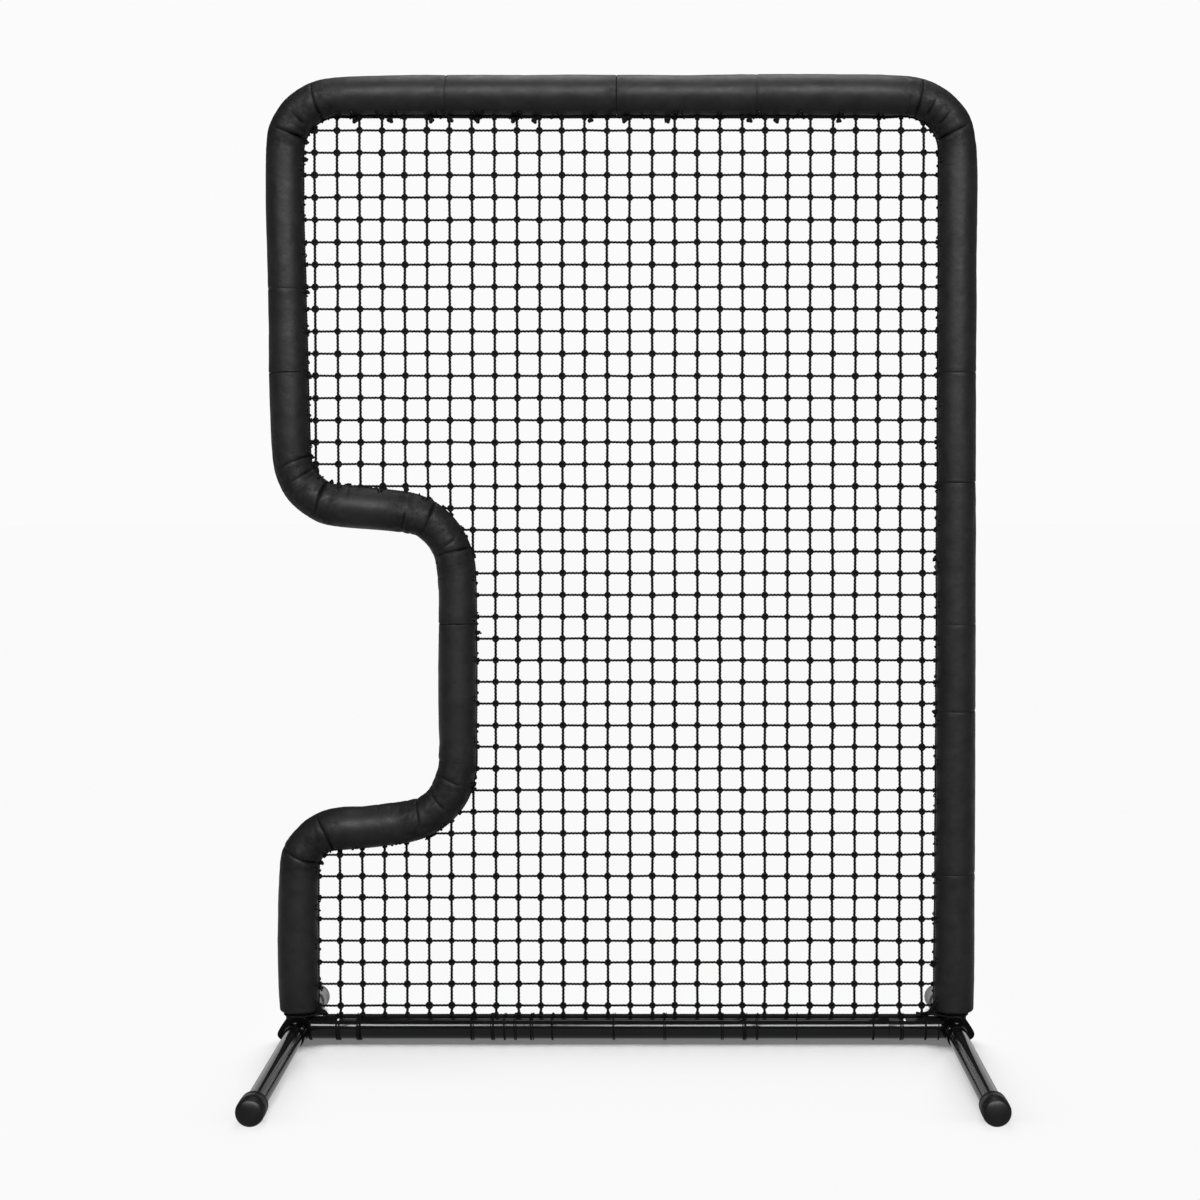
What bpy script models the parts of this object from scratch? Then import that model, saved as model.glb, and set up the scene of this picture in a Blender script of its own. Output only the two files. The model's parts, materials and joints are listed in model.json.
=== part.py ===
# Padded C-shaped pitching screen: bent steel frame in foam and vinyl pads,
# knotted net, bottom rail, and two floor legs held by spring snap buttons.
# Metres, +Z up. X is the screen's width, Y its depth (the pitcher's side is -Y).
# Origin: centre of the overall footprint, on the floor.
import math

import bmesh
import bpy
from mathutils import Matrix, Vector

# ------------------------------------------------------------ driving sizes
FRAME_Y = 0.174            # plane of the frame, pads and net
LEG_HALF = 0.456           # half of the 36 in (912 mm) leg assembly
LEG_Z = 0.028              # height of the leg and rail axes

TUBE_R = 0.0254            # 2 in frame tube
TUBE_WALL = 0.0020
TUBE_SIDES = 12
PAD_R = 0.0435             # outside of the vinyl cover, 87 mm across
COVER_WALL = 0.0012
FOAM_R = 0.0420            # foam under the cover
FOAM_WALL = 0.0153
PAD_SIDES = 12
BEND_STEPS = 5             # facets of each bend

TOP_Z = 2.0895             # axis of the top tube
RIGHT_X = 0.7377           # axis of the right upright
TOP_LEFT_X = -0.7399       # left upright at the top, it leans in going down
TOP_BEND_R = 0.122
ARM1_OUT = (-0.7238, 1.1990)    # meeting point of left upright and upper arm
ARM1_IN = (-0.3641, 1.1696)     # upper arm and the recessed upright
ARM2_IN = (-0.3631, 0.4964)     # recessed upright and lower arm
ARM2_OUT = (-0.7185, 0.4660)    # lower arm and lower left upright
ARM1_OUT_R, ARM1_IN_R = 0.113, 0.133
ARM2_IN_R, ARM2_OUT_R = 0.161, 0.0835
LEFT_X = -0.7185           # lower left upright and left leg

TOP_JOINT_X = -0.0106      # slip joints of the frame sections
LEFT_JOINT_Z = 1.4844
C_JOINT_Z = 0.9317
RIGHT_JOINT_Z = 1.2436
TUBE_END_Z = 0.0668        # lower end of both uprights, on the collars
PAD_END_Z = 0.0672
JOINT_GAP = 0.0003
SPLICE_LEN = 0.180
SPLICE_R = 0.02300
SPLICE_WALL = 0.0018

LEG_R, LEG_WALL = 0.0211, 0.0020       # 1.66 in leg tube
SLEEVE_R, SLEEVE_BORE = 0.02415, 0.0214   # 1.90 in leg sleeve
SLEEVE_Y = (0.085, 0.263)
COLLAR_R, COLLAR_Z = 0.0297, (0.036, 0.0665)
SPIGOT_R, SPIGOT_BORE, SPIGOT_TOP = 0.0224, 0.0194, 0.200
STUB_BORE = 0.0234
STUB_END = {"left": -0.5858, "right": 0.5938}
SWAGE_R, SWAGE_BORE = 0.0231, 0.0211   # reduced rail ends, inside the stubs
SWAGE_LEN = 0.100
RAIL_JOINT_X = 0.2739

CAP_R, CAP_LEN, CAP_FLOOR = 0.0288, 0.055, 0.0060

BUTTON_R, BUTTON_HOLE = 0.00395, 0.0043
LEG_BUTTON_Y = 0.100
LEG_BUTTON_TILT = math.radians(45)     # from straight up, towards the net
LEG_BUTTON_TOP, LEG_BUTTON_SEAT = 0.0272, 0.0170
RAIL_BUTTON_X = {"left": -0.6297, "right": 0.6290}
RAIL_BUTTON_TILT = math.radians(36)    # from straight up, towards the front
RAIL_BUTTON_TOP, RAIL_BUTTON_SEAT = 0.0284, 0.0192
LEAF_W, LEAF_T, LEAF_LEN = 0.0080, 0.0008, 0.034

SCREW_Y = 0.114
SCREW_HEAD_R, SCREW_SHANK_R, SCREW_HOLE = 0.0055, 0.0030, 0.0034

TIE_WIRE_R = 0.0010        # cord that lashes the net's edge to the rail
ROPE_R = 0.0024
ROPE_OFF = PAD_R + 0.0004 + ROPE_R     # border rope beside the pads
NET_T = 0.0024
NET_OFF = ROPE_OFF + ROPE_R + 0.0003
ROPE_RAIL_Z = LEG_Z + TUBE_R + 0.0003 + 2 * TIE_WIRE_R + 0.0003 + ROPE_R
NET_BOTTOM_Z = 0.0614
LACE_PITCH = 0.088          # spacing of the grommets that the lacing follows
LACE_R = 0.0014
TIE_X = (-0.6195, -0.5835, -0.332, -0.286, -0.236, -0.200, -0.154,
         -0.0173, 0.0964, 0.3015, 0.5600, 0.6190)

Y_AXIS = Vector((0, 1, 0))

# --------------------------------------------------------------- clean scene
for ob in list(bpy.data.objects):
    bpy.data.objects.remove(ob, do_unlink=True)
for block in list(bpy.data.meshes):
    bpy.data.meshes.remove(block)


def collection(name):
    col = bpy.data.collections.new(name)
    bpy.context.scene.collection.children.link(col)
    return col


PARTS = collection("padded_c_screen")
CUTTERS = collection("cutters")


def material(name, colour, roughness, metallic=0.0):
    mat = bpy.data.materials.new(name)
    mat.use_nodes = True
    bsdf = mat.node_tree.nodes["Principled BSDF"]
    bsdf.inputs["Base Color"].default_value = (*colour, 1.0)
    bsdf.inputs["Roughness"].default_value = roughness
    bsdf.inputs["Metallic"].default_value = metallic
    return mat


STEEL = material("frame_steel", (0.012, 0.012, 0.013), 0.22)
VINYL = material("pad_vinyl", (0.020, 0.020, 0.022), 0.52)
FOAM = material("pad_foam", (0.10, 0.10, 0.11), 0.90)
TWINE = material("net_twine", (0.010, 0.010, 0.011), 0.85)
ROPE = material("net_rope", (0.012, 0.012, 0.012), 0.85)
RUBBER = material("foot_rubber", (0.022, 0.022, 0.023), 0.62)
ZINC = material("zinc_hardware", (0.62, 0.62, 0.63), 0.35, 1.0)
SPRING = material("spring_steel", (0.42, 0.42, 0.44), 0.38, 1.0)


def add(name, mesh, mat, col=PARTS):
    ob = bpy.data.objects.new(name, mesh)
    col.objects.link(ob)
    mesh.materials.clear()
    mesh.materials.append(mat)
    return ob


def mesh_from(bm, name, smooth=True, angle=40):
    mesh = bpy.data.meshes.new(name)
    bm.to_mesh(mesh)
    bm.free()
    if smooth:
        mesh.shade_smooth()
        mesh.set_sharp_from_angle(angle=math.radians(angle))
    return mesh


def section_matrix(point, tangent):
    """Ring frame: local X lies along world Y, local Z along the tangent."""
    z = Vector(tangent).normalized()
    x = Y_AXIS - z * Y_AXIS.dot(z)
    x = Vector((1, 0, 0)) if x.length < 1e-6 else x.normalized()
    y = z.cross(x)
    m = Matrix((x, y, z)).transposed().to_4x4()
    m.translation = Vector(point)
    return m


# ---------------------------------------------------------- frame centreline
def centreline(points, radii):
    """Straight runs joined by arcs, in the frame's plane, as primitives."""
    pts = [Vector((x, FRAME_Y, z)) for x, z in points]
    out, start = [], pts[0]
    for i in range(1, len(pts) - 1):
        d1 = (pts[i] - pts[i - 1]).normalized()
        d2 = (pts[i + 1] - pts[i]).normalized()
        angle = d1.angle(d2)
        run = radii[i - 1] * math.tan(angle / 2)
        a, b = pts[i] - d1 * run, pts[i] + d2 * run
        axis = d1.cross(d2).normalized()
        centre = a + axis.cross(d1) * radii[i - 1]
        out.append({"kind": "line", "a": start, "b": a})
        out.append({"kind": "arc", "a": a, "b": b, "c": centre, "axis": axis,
                    "angle": angle, "r": radii[i - 1], "dir": d1})
        start = b
    out.append({"kind": "line", "a": start, "b": pts[-1]})
    for p in out:
        p["len"] = ((p["b"] - p["a"]).length if p["kind"] == "line"
                    else p["angle"] * p["r"])
    return out


def at(path, s):
    """Point and direction at distance s along the centreline."""
    for p in path:
        if s <= p["len"] + 1e-9 or p is path[-1]:
            if p["kind"] == "line":
                d = (p["b"] - p["a"]).normalized()
                return p["a"] + d * s, d
            rot = Matrix.Rotation(s / p["r"], 4, p["axis"])
            return p["c"] + rot @ (p["a"] - p["c"]), rot @ p["dir"]
        s -= p["len"]


def starts(path):
    s, out = 0.0, []
    for p in path:
        out.append(s)
        s += p["len"]
    return out + [s]


def s_at_z(path, index, z):
    """Distance along the path where straight run `index` reaches height z."""
    p = path[index]
    t = (z - p["a"].z) / (p["b"].z - p["a"].z)
    return starts(path)[index] + t * p["len"]


def clip(path, s0, s1):
    """The primitives between two distances; arcs keep their facet angles."""
    out = []
    for p, a in zip(path, starts(path)):
        b = a + p["len"]
        lo, hi = max(a, s0), min(b, s1)
        if hi - lo < 1e-6:
            continue
        out.append((p, lo - a, hi - a))
    return out


def sweep(bm, path, s0, s1, radius, sides):
    """Open tube surface: a ring extruded along runs and spun round bends.

    Returns the edges of its first and last rings.
    """
    point, tangent = at(path, s0)
    ring = bmesh.ops.create_circle(bm, cap_ends=False, segments=sides,
                                   radius=radius,
                                   matrix=section_matrix(point, tangent))
    verts = ring["verts"]
    edges = list({e for v in verts for e in v.link_edges})
    first = list(edges)
    for p, lo, hi in clip(path, s0, s1):
        if p["kind"] == "line":
            d = (p["b"] - p["a"]).normalized()
            ret = bmesh.ops.extrude_edge_only(bm, edges=edges)["geom"]
            verts = [g for g in ret if isinstance(g, bmesh.types.BMVert)]
            edges = [g for g in ret if isinstance(g, bmesh.types.BMEdge)]
            bmesh.ops.translate(bm, verts=verts, vec=d * (hi - lo))
        else:
            step = p["angle"] / BEND_STEPS
            marks = [lo / p["r"]]
            marks += [k * step for k in range(1, BEND_STEPS)
                      if lo / p["r"] + 1e-3 < k * step < hi / p["r"] - 1e-3]
            marks.append(hi / p["r"])
            for a, b in zip(marks, marks[1:]):
                ret = bmesh.ops.spin(bm, geom=verts + edges, cent=p["c"],
                                     axis=p["axis"], dvec=(0, 0, 0),
                                     angle=b - a, steps=1,
                                     use_duplicate=False)["geom_last"]
                verts = [g for g in ret if isinstance(g, bmesh.types.BMVert)]
                edges = [g for g in ret if isinstance(g, bmesh.types.BMEdge)]
    return first, edges


def join_rims(bm, outer, bore):
    """Flat annular rim between two concentric rings of equal sides."""
    ring = {v for e in outer for v in e.verts}
    hole = {v for e in bore for v in e.verts}
    centre = sum((v.co for v in ring), Vector()) / len(ring)
    unit = {v: (v.co - centre).normalized() for v in ring | hole}
    mate = {v: max(hole, key=lambda w: unit[w].dot(unit[v])) for v in ring}
    for e in outer:
        a, b = e.verts
        bm.faces.new((a, b, mate[b], mate[a]))


def tube_object(name, path, s0, s1, radius, wall, sides, mat):
    """Hollow tube section: outer and bore surfaces joined at both rims."""
    bm = bmesh.new()
    outer = sweep(bm, path, s0, s1, radius, sides)
    bore = sweep(bm, path, s0, s1, radius - wall, sides)
    for a, b in zip(outer, bore):
        join_rims(bm, a, b)
    bmesh.ops.recalc_face_normals(bm, faces=bm.faces)
    return add(name, mesh_from(bm, name), mat)


# ------------------------------------------------------------- plain solids
def cylinder(name, centre, direction, radius, length, sides=24, mat=STEEL,
             col=PARTS, radius2=None):
    bm = bmesh.new()
    bmesh.ops.create_cone(bm, cap_ends=True, segments=sides, radius1=radius,
                          radius2=radius if radius2 is None else radius2,
                          depth=length,
                          matrix=section_matrix(centre, direction))
    return add(name, mesh_from(bm, name), mat, col)


def cutter(name, centre, direction, radius, length, sides=24):
    ob = cylinder(name, centre, direction, radius, length, sides, STEEL,
                  CUTTERS)
    ob.hide_render = True
    ob.display_type = "WIRE"
    return ob


def boolean(ob, other, operation):
    mod = ob.modifiers.new(other.name, "BOOLEAN")
    mod.operation = operation
    mod.object = other
    mod.solver = "EXACT"


def turned(name, profile, centre, direction, mat, sides=24, closed=True,
           col=PARTS):
    """Profile of (radius, height) turned about its axis by Screw."""
    mesh = bpy.data.meshes.new(name)
    verts = [(r, 0, h) for r, h in profile]
    edges = [(i, i + 1) for i in range(len(verts) - 1)]
    if closed:
        edges.append((len(verts) - 1, 0))
    mesh.from_pydata(verts, edges, [])
    ob = add(name, mesh, mat, col)
    z = Vector(direction).normalized()
    ob.matrix_world = section_matrix(centre, z)
    mod = ob.modifiers.new("turn", "SCREW")
    mod.steps = mod.render_steps = sides
    mod.use_merge_vertices = True
    mod.merge_threshold = 0.00005
    mod.use_smooth_shade = True
    mod.use_normal_calculate = False
    return ob


# ------------------------------------------------------------ centrelines
LEFT = centreline(
    [(TOP_JOINT_X, TOP_Z), (TOP_LEFT_X, TOP_Z), ARM1_OUT, ARM1_IN, ARM2_IN,
     ARM2_OUT, (LEFT_X, TUBE_END_Z)],
    [TOP_BEND_R, ARM1_OUT_R, ARM1_IN_R, ARM2_IN_R, ARM2_OUT_R])
RIGHT = centreline(
    [(TOP_JOINT_X, TOP_Z), (RIGHT_X, TOP_Z), (RIGHT_X, TUBE_END_Z)],
    [TOP_BEND_R])
LS, RS = starts(LEFT), starts(RIGHT)
L_JOINT = s_at_z(LEFT, 2, LEFT_JOINT_Z)
C_JOINT = s_at_z(LEFT, 6, C_JOINT_Z)
R_JOINT = s_at_z(RIGHT, 2, RIGHT_JOINT_Z)
G = JOINT_GAP / 2

# --------------------------------------------------------- steel sections
FRAME_SECTIONS = [
    ("frame_top_left", LEFT, G, L_JOINT - G),
    ("frame_c_upper", LEFT, L_JOINT + G, C_JOINT - G),
    ("frame_c_lower", LEFT, C_JOINT + G, LS[-1]),
    ("frame_top_right", RIGHT, G, R_JOINT - G),
    ("frame_right_lower", RIGHT, R_JOINT + G, RS[-1]),
]
for name, path, s0, s1 in FRAME_SECTIONS:
    tube_object(name, path, s0, s1, TUBE_R, TUBE_WALL, TUBE_SIDES, STEEL)

# inner splice sleeves across the slip joints
for name, path, s in (("splice_left_upright", LEFT, L_JOINT),
                      ("splice_c_upright", LEFT, C_JOINT),
                      ("splice_right_upright", RIGHT, R_JOINT)):
    tube_object(name, path, s - SPLICE_LEN / 2, s + SPLICE_LEN / 2,
                SPLICE_R, SPLICE_WALL, TUBE_SIDES, STEEL)
TOP_SPLICE = centreline([(TOP_JOINT_X - SPLICE_LEN / 2, TOP_Z),
                         (TOP_JOINT_X + SPLICE_LEN / 2, TOP_Z)], [])
tube_object("splice_top", TOP_SPLICE, 0, SPLICE_LEN, SPLICE_R, SPLICE_WALL,
            TUBE_SIDES, STEEL)

# ------------------------------------------------------------ foam sleeves
F = 0.00015


def foam(name, path, s0, s1):
    tube_object(name, path, s0 + F, s1 - F, FOAM_R, FOAM_WALL, PAD_SIDES,
                FOAM)


def foam_bend(name, path, index):
    foam(name, path, starts(path)[index], starts(path)[index + 1])


CUT = PAD_END_Z + 0.0016 - TUBE_END_Z
foam("foam_top_left", LEFT, G, LS[1])
foam_bend("foam_bend_top_left", LEFT, 1)
foam("foam_left_upright_high", LEFT, LS[2], L_JOINT)
foam("foam_left_upright_low", LEFT, L_JOINT, LS[3])
foam_bend("foam_bend_upper_arm_outer", LEFT, 3)
foam("foam_upper_arm", LEFT, LS[4], LS[5])
foam_bend("foam_bend_upper_arm_inner", LEFT, 5)
foam("foam_c_upright_high", LEFT, LS[6], C_JOINT)
foam("foam_c_upright_low", LEFT, C_JOINT, LS[7])
foam_bend("foam_bend_lower_arm_inner", LEFT, 7)
foam("foam_lower_arm", LEFT, LS[8], LS[9])
foam_bend("foam_bend_lower_arm_outer", LEFT, 9)
foam("foam_left_lower", LEFT, LS[10], LS[11] - CUT)
foam("foam_top_right", RIGHT, G, RS[1])
foam_bend("foam_bend_top_right", RIGHT, 1)
foam("foam_right_upper", RIGHT, RS[2], R_JOINT)
foam("foam_right_lower", RIGHT, R_JOINT, RS[3] - CUT)

# ------------------------------------------------------------ vinyl covers
END = PAD_END_Z - TUBE_END_Z
for name, path, s0, s1 in (
        ("cover_top_left", LEFT, G, L_JOINT - G),
        ("cover_c_upper", LEFT, L_JOINT + G, C_JOINT - G),
        ("cover_c_lower", LEFT, C_JOINT + G, LS[-1] - END),
        ("cover_top_right", RIGHT, G, R_JOINT - G),
        ("cover_right_lower", RIGHT, R_JOINT + G, RS[-1] - END)):
    tube_object(name, path, s0, s1, PAD_R, COVER_WALL, PAD_SIDES, VINYL)


# ---------------------------------------------------------- corner sockets
def button_direction(side):
    """Radial directions of the leg and rail buttons on one corner."""
    inward = 1 if side == "left" else -1
    leg = Vector((inward * math.sin(LEG_BUTTON_TILT), 0,
                  math.cos(LEG_BUTTON_TILT)))
    rail = Vector((0, -math.sin(RAIL_BUTTON_TILT),
                   math.cos(RAIL_BUTTON_TILT)))
    return leg, rail


def corner(side, px):
    inward = 1 if side == "left" else -1
    leg_dir, rail_dir = button_direction(side)
    mid_y = sum(SLEEVE_Y) / 2
    name = "corner_socket_" + side
    body = cylinder(name, (px, mid_y, LEG_Z), (0, 1, 0), SLEEVE_R,
                    SLEEVE_Y[1] - SLEEVE_Y[0])
    collar = cylinder(name + "_collar", (px, FRAME_Y, sum(COLLAR_Z) / 2),
                      (0, 0, 1), COLLAR_R, COLLAR_Z[1] - COLLAR_Z[0],
                      col=CUTTERS)
    spigot = cylinder(name + "_spigot",
                      (px, FRAME_Y, (COLLAR_Z[0] + SPIGOT_TOP) / 2),
                      (0, 0, 1), SPIGOT_R, SPIGOT_TOP - COLLAR_Z[0],
                      TUBE_SIDES, col=CUTTERS)
    stub_x = STUB_END[side]
    stub = cylinder(name + "_stub", ((px + stub_x) / 2, FRAME_Y, LEG_Z),
                    (1, 0, 0), TUBE_R, abs(stub_x - px), col=CUTTERS)
    for tool in (collar, spigot, stub):
        tool.hide_render = True
        tool.display_type = "WIRE"
        boolean(body, tool, "UNION")
    bore = cutter(name + "_leg_bore", (px, mid_y, LEG_Z), (0, 1, 0),
                  SLEEVE_BORE, 0.30)
    stub_in = px + inward * 0.030
    stub_bore = cutter(name + "_stub_bore",
                       ((stub_in + stub_x + inward * 0.02) / 2, FRAME_Y,
                        LEG_Z), (1, 0, 0), STUB_BORE,
                       abs(stub_x + inward * 0.02 - stub_in))
    post_bore = cutter(name + "_post_bore",
                       (px, FRAME_Y, (0.078 + SPIGOT_TOP + 0.02) / 2),
                       (0, 0, 1), SPIGOT_BORE, SPIGOT_TOP + 0.02 - 0.078,
                       TUBE_SIDES)
    leg_hole = cutter(name + "_leg_button_hole",
                      Vector((px, LEG_BUTTON_Y, LEG_Z)) + leg_dir * 0.024,
                      leg_dir, BUTTON_HOLE, 0.014, 12)
    rail_hole = cutter(name + "_rail_button_hole",
                       Vector((RAIL_BUTTON_X[side], FRAME_Y, LEG_Z))
                       + rail_dir * 0.024, rail_dir, BUTTON_HOLE, 0.014, 12)
    screw_hole = cutter(name + "_screw_hole", (px, SCREW_Y, LEG_Z + 0.024),
                        (0, 0, 1), SCREW_HOLE, 0.014, 12)
    for tool in (bore, stub_bore, post_bore, leg_hole, rail_hole,
                 screw_hole):
        boolean(body, tool, "DIFFERENCE")
    return leg_hole, screw_hole, rail_hole


CORNERS = {"left": LEFT_X, "right": RIGHT_X}
holes = {side: corner(side, px) for side, px in CORNERS.items()}

# -------------------------------------------------------------------- rail


def rail(name, x_joint, x_step, side):
    """Turned rail section with a reduced end that enters the corner stub."""
    sign = 1 if x_step > x_joint else -1
    run = abs(x_step - x_joint)
    profile = [(TUBE_R, 0.0), (TUBE_R, run), (SWAGE_R, run + 0.0002),
               (SWAGE_R, run + SWAGE_LEN), (SWAGE_BORE, run + SWAGE_LEN),
               (SWAGE_BORE, run - 0.003), (STUB_BORE, run - 0.008),
               (STUB_BORE, 0.0)]
    ob = turned(name, profile[::-1], (x_joint, FRAME_Y, LEG_Z),
                (sign, 0, 0), STEEL)
    boolean(ob, holes[side][2], "DIFFERENCE")
    return ob


rail("rail_left", RAIL_JOINT_X - G, STUB_END["left"] + 0.0003, "left")
rail("rail_right", RAIL_JOINT_X + G, STUB_END["right"] - 0.0003, "right")
turned("splice_rail",
       [(0.02310, 0.0), (0.02310, 0.16), (0.0213, 0.16), (0.0213, 0.0)][::-1],
       (RAIL_JOINT_X - 0.08, FRAME_Y, LEG_Z), (1, 0, 0), STEEL)

# -------------------------------------------------------------------- legs
for side, px in CORNERS.items():
    half = LEG_HALF - CAP_FLOOR - 0.0003
    leg = turned("leg_" + side,
                 [(LEG_R, 0), (LEG_R, 2 * half), (LEG_R - LEG_WALL, 2 * half),
                  (LEG_R - LEG_WALL, 0)][::-1],
                 (px, -half, LEG_Z), (0, 1, 0), STEEL)
    boolean(leg, holes[side][0], "DIFFERENCE")
    boolean(leg, holes[side][1], "DIFFERENCE")

# ------------------------------------------------------------- rubber feet
floor_cut = bmesh.new()
bmesh.ops.create_cube(floor_cut, size=1.0, matrix=Matrix.Translation(
    (0, 0, -0.05)) @ Matrix.Diagonal((2.0, 1.2, 0.1, 1.0)))
FLOOR = add("floor_plane_cut", mesh_from(floor_cut, "floor_plane_cut", False),
            RUBBER, CUTTERS)
FLOOR.hide_render = True
FLOOR.display_type = "WIRE"
for side, px in CORNERS.items():
    for end, sign in (("front", -1), ("rear", 1)):
        bore = LEG_R + 0.0003
        profile = [(0.0, CAP_LEN), (0.019, CAP_LEN - 0.0018),
                   (0.0262, CAP_LEN - 0.0050), (CAP_R, CAP_LEN - 0.0125),
                   (CAP_R, 0.006), (CAP_R - 0.0030, 0.0), (bore, 0.0),
                   (bore, CAP_LEN - CAP_FLOOR), (0.0, CAP_LEN - CAP_FLOOR)]
        cap = turned("foot_cap_%s_%s" % (side, end), profile,
                     (px, sign * (LEG_HALF - CAP_LEN), LEG_Z),
                     (0, sign, 0), RUBBER, closed=False)
        boolean(cap, FLOOR, "DIFFERENCE")


# ------------------------------------------------- snap buttons and springs
def leaf_frame(origin, radial, along):
    """Local Z radially out, local X along the tube."""
    z, x = Vector(radial).normalized(), Vector(along).normalized()
    m = Matrix((x, z.cross(x), z)).transposed().to_4x4()
    m.translation = Vector(origin)
    return m


def button(name, origin, radial, along, seat, top):
    """Domed button on its upper spring leaf, one moving piece."""
    dome = BUTTON_R * 0.45
    profile = [(0.0, top), (BUTTON_R * 0.55, top - dome * 0.22),
               (BUTTON_R * 0.88, top - dome * 0.62),
               (BUTTON_R, top - dome), (BUTTON_R, seat + 0.0002),
               (0.0, seat + 0.0002)]
    head = turned(name, profile, origin, radial, ZINC, 16, closed=False)
    bm = bmesh.new()
    bmesh.ops.create_cube(bm, size=1.0, matrix=Matrix.Translation(
        (LEAF_LEN / 2 - 0.005, 0, seat + LEAF_T / 2)) @ Matrix.Diagonal(
        (LEAF_LEN, LEAF_W, LEAF_T, 1.0)))
    leaf = add(name + "_leaf", mesh_from(bm, name + "_leaf", False), ZINC,
               CUTTERS)
    leaf.matrix_world = leaf_frame(origin, radial, along)
    leaf.hide_render = True
    leaf.display_type = "WIRE"
    boolean(head, leaf, "UNION")
    return head


def spring(name, origin, radial, along, seat):
    """Lower leaf and bend of the V-spring, as a bent strip."""
    m = leaf_frame(origin, radial, along)
    end = LEAF_LEN - 0.005 + 0.0006
    route = [(-0.004, -seat), (end, -seat)]
    steps = 5
    for k in range(1, steps + 1):
        a = -math.pi / 2 + math.pi / 2 * k / steps
        route.append((end + 0.005 * math.cos(a),
                      -seat + 0.010 + 0.010 * math.sin(a)))
    route.append((end + 0.005, seat - 0.006))
    route.append((end + 0.0030, seat - 0.0012))
    bm = bmesh.new()
    row = [bm.verts.new(m @ Vector((x, -LEAF_W / 2, z))) for x, z in route]
    edges = [bm.edges.new((a, b)) for a, b in zip(row, row[1:])]
    ret = bmesh.ops.extrude_edge_only(bm, edges=edges)["geom"]
    moved = [g for g in ret if isinstance(g, bmesh.types.BMVert)]
    bmesh.ops.translate(bm, verts=moved,
                        vec=m.to_3x3() @ Vector((0, LEAF_W, 0)))
    ob = add(name, mesh_from(bm, name, False), SPRING)
    strip = ob.modifiers.new("strip", "SOLIDIFY")
    strip.thickness = LEAF_T
    strip.offset = 0.0
    strip.use_even_offset = True


for side, px in CORNERS.items():
    inward = 1 if side == "left" else -1
    leg_dir, rail_dir = button_direction(side)
    for kind, origin, radial, along, seat, top in (
            ("leg", (px, LEG_BUTTON_Y, LEG_Z), leg_dir, (0, -1, 0),
             LEG_BUTTON_SEAT, LEG_BUTTON_TOP),
            ("rail", (RAIL_BUTTON_X[side], FRAME_Y, LEG_Z), rail_dir,
             (inward, 0, 0), RAIL_BUTTON_SEAT, RAIL_BUTTON_TOP)):
        button("%s_button_%s" % (kind, side), origin, radial, along, seat,
               top)
        spring("%s_spring_%s" % (kind, side), origin, radial, along, seat)

# ------------------------------------------------------- leg locking screws
screws = []
for side, px in CORNERS.items():
    h = SLEEVE_R + 0.0003
    profile = [(0.0, h + 0.0032), (SCREW_HEAD_R * 0.6, h + 0.0028),
               (SCREW_HEAD_R, h + 0.0012), (SCREW_HEAD_R, h),
               (SCREW_SHANK_R, h), (SCREW_SHANK_R, 0.0165), (0.0, 0.0165)]
    screws.append(turned("leg_lock_screw_" + side, profile,
                         (px, SCREW_Y, LEG_Z), (0, 0, 1), ZINC, 12,
                         closed=False))


# ------------------------------------------------------------ net and cords
def offset_points(path, s0, s1, off, side):
    """Points beside the centreline, on the net's side, facet by facet."""
    out = []
    marks = []
    for p, lo, hi in clip(path, s0, s1):
        a = starts(path)[path.index(p)]
        if p["kind"] == "line":
            marks += [a + lo, a + hi]
        else:
            n = BEND_STEPS
            marks += [a + p["len"] * k / n for k in range(n + 1)]
    last = None
    for s in marks:
        if last is not None and s - last < 1e-6:
            continue
        last = s
        point, tangent = at(path, s)
        normal = Y_AXIS.cross(tangent) * side
        out.append(point + normal * off)
    return out


# the net lies to the left of travel on the left path's way down
probe, direction = at(LEFT, LS[2] + 0.1)
NET_LEFT = 1 if (Y_AXIS.cross(direction)).x > 0 else -1
probe, direction = at(RIGHT, RS[2] + 0.1)
NET_RIGHT = 1 if (Y_AXIS.cross(direction)).x < 0 else -1


def loop(off, bottom):
    left = offset_points(LEFT, 0, LS[-1] - 0.012, off, NET_LEFT)
    right = offset_points(RIGHT, 0, RS[-1] - 0.012, off, NET_RIGHT)
    for run, x in ((left, LEFT_X + off), (right, RIGHT_X - off)):
        run[-1] = Vector((x, FRAME_Y, max(bottom + 0.006, run[-1].z)))
    corner_l = Vector((LEFT_X + off + 0.004, FRAME_Y, bottom))
    corner_r = Vector((RIGHT_X - off - 0.004, FRAME_Y, bottom))
    return left + [corner_l, corner_r] + right[::-1][:-1]


def polyline(name, points, depth, mat, cyclic, resolution=1):
    """Round cord along a polyline, made a mesh."""
    curve = bpy.data.curves.new(name, "CURVE")
    curve.dimensions = "3D"
    curve.bevel_depth = depth
    curve.bevel_resolution = resolution
    curve.use_fill_caps = True
    spl = curve.splines.new("POLY")
    spl.points.add(len(points) - 1)
    for q, p in zip(spl.points, points):
        q.co = (*p, 1.0)
    spl.use_cyclic_u = cyclic
    tmp = bpy.data.objects.new(name + "_curve", curve)
    bpy.context.scene.collection.objects.link(tmp)
    bpy.context.view_layer.update()
    deps = bpy.context.evaluated_depsgraph_get()
    mesh = bpy.data.meshes.new_from_object(tmp.evaluated_get(deps))
    bm = bmesh.new()
    bm.from_mesh(mesh)
    bmesh.ops.remove_doubles(bm, verts=bm.verts, dist=1e-5)
    bm.to_mesh(mesh)
    bm.free()
    ob = add(name, mesh, mat)
    ob.matrix_world = tmp.matrix_world
    bpy.data.objects.remove(tmp)
    mesh.shade_smooth()
    return ob


polyline("net_border_rope", loop(ROPE_OFF, ROPE_RAIL_Z), ROPE_R, ROPE, True,
         0)

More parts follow.
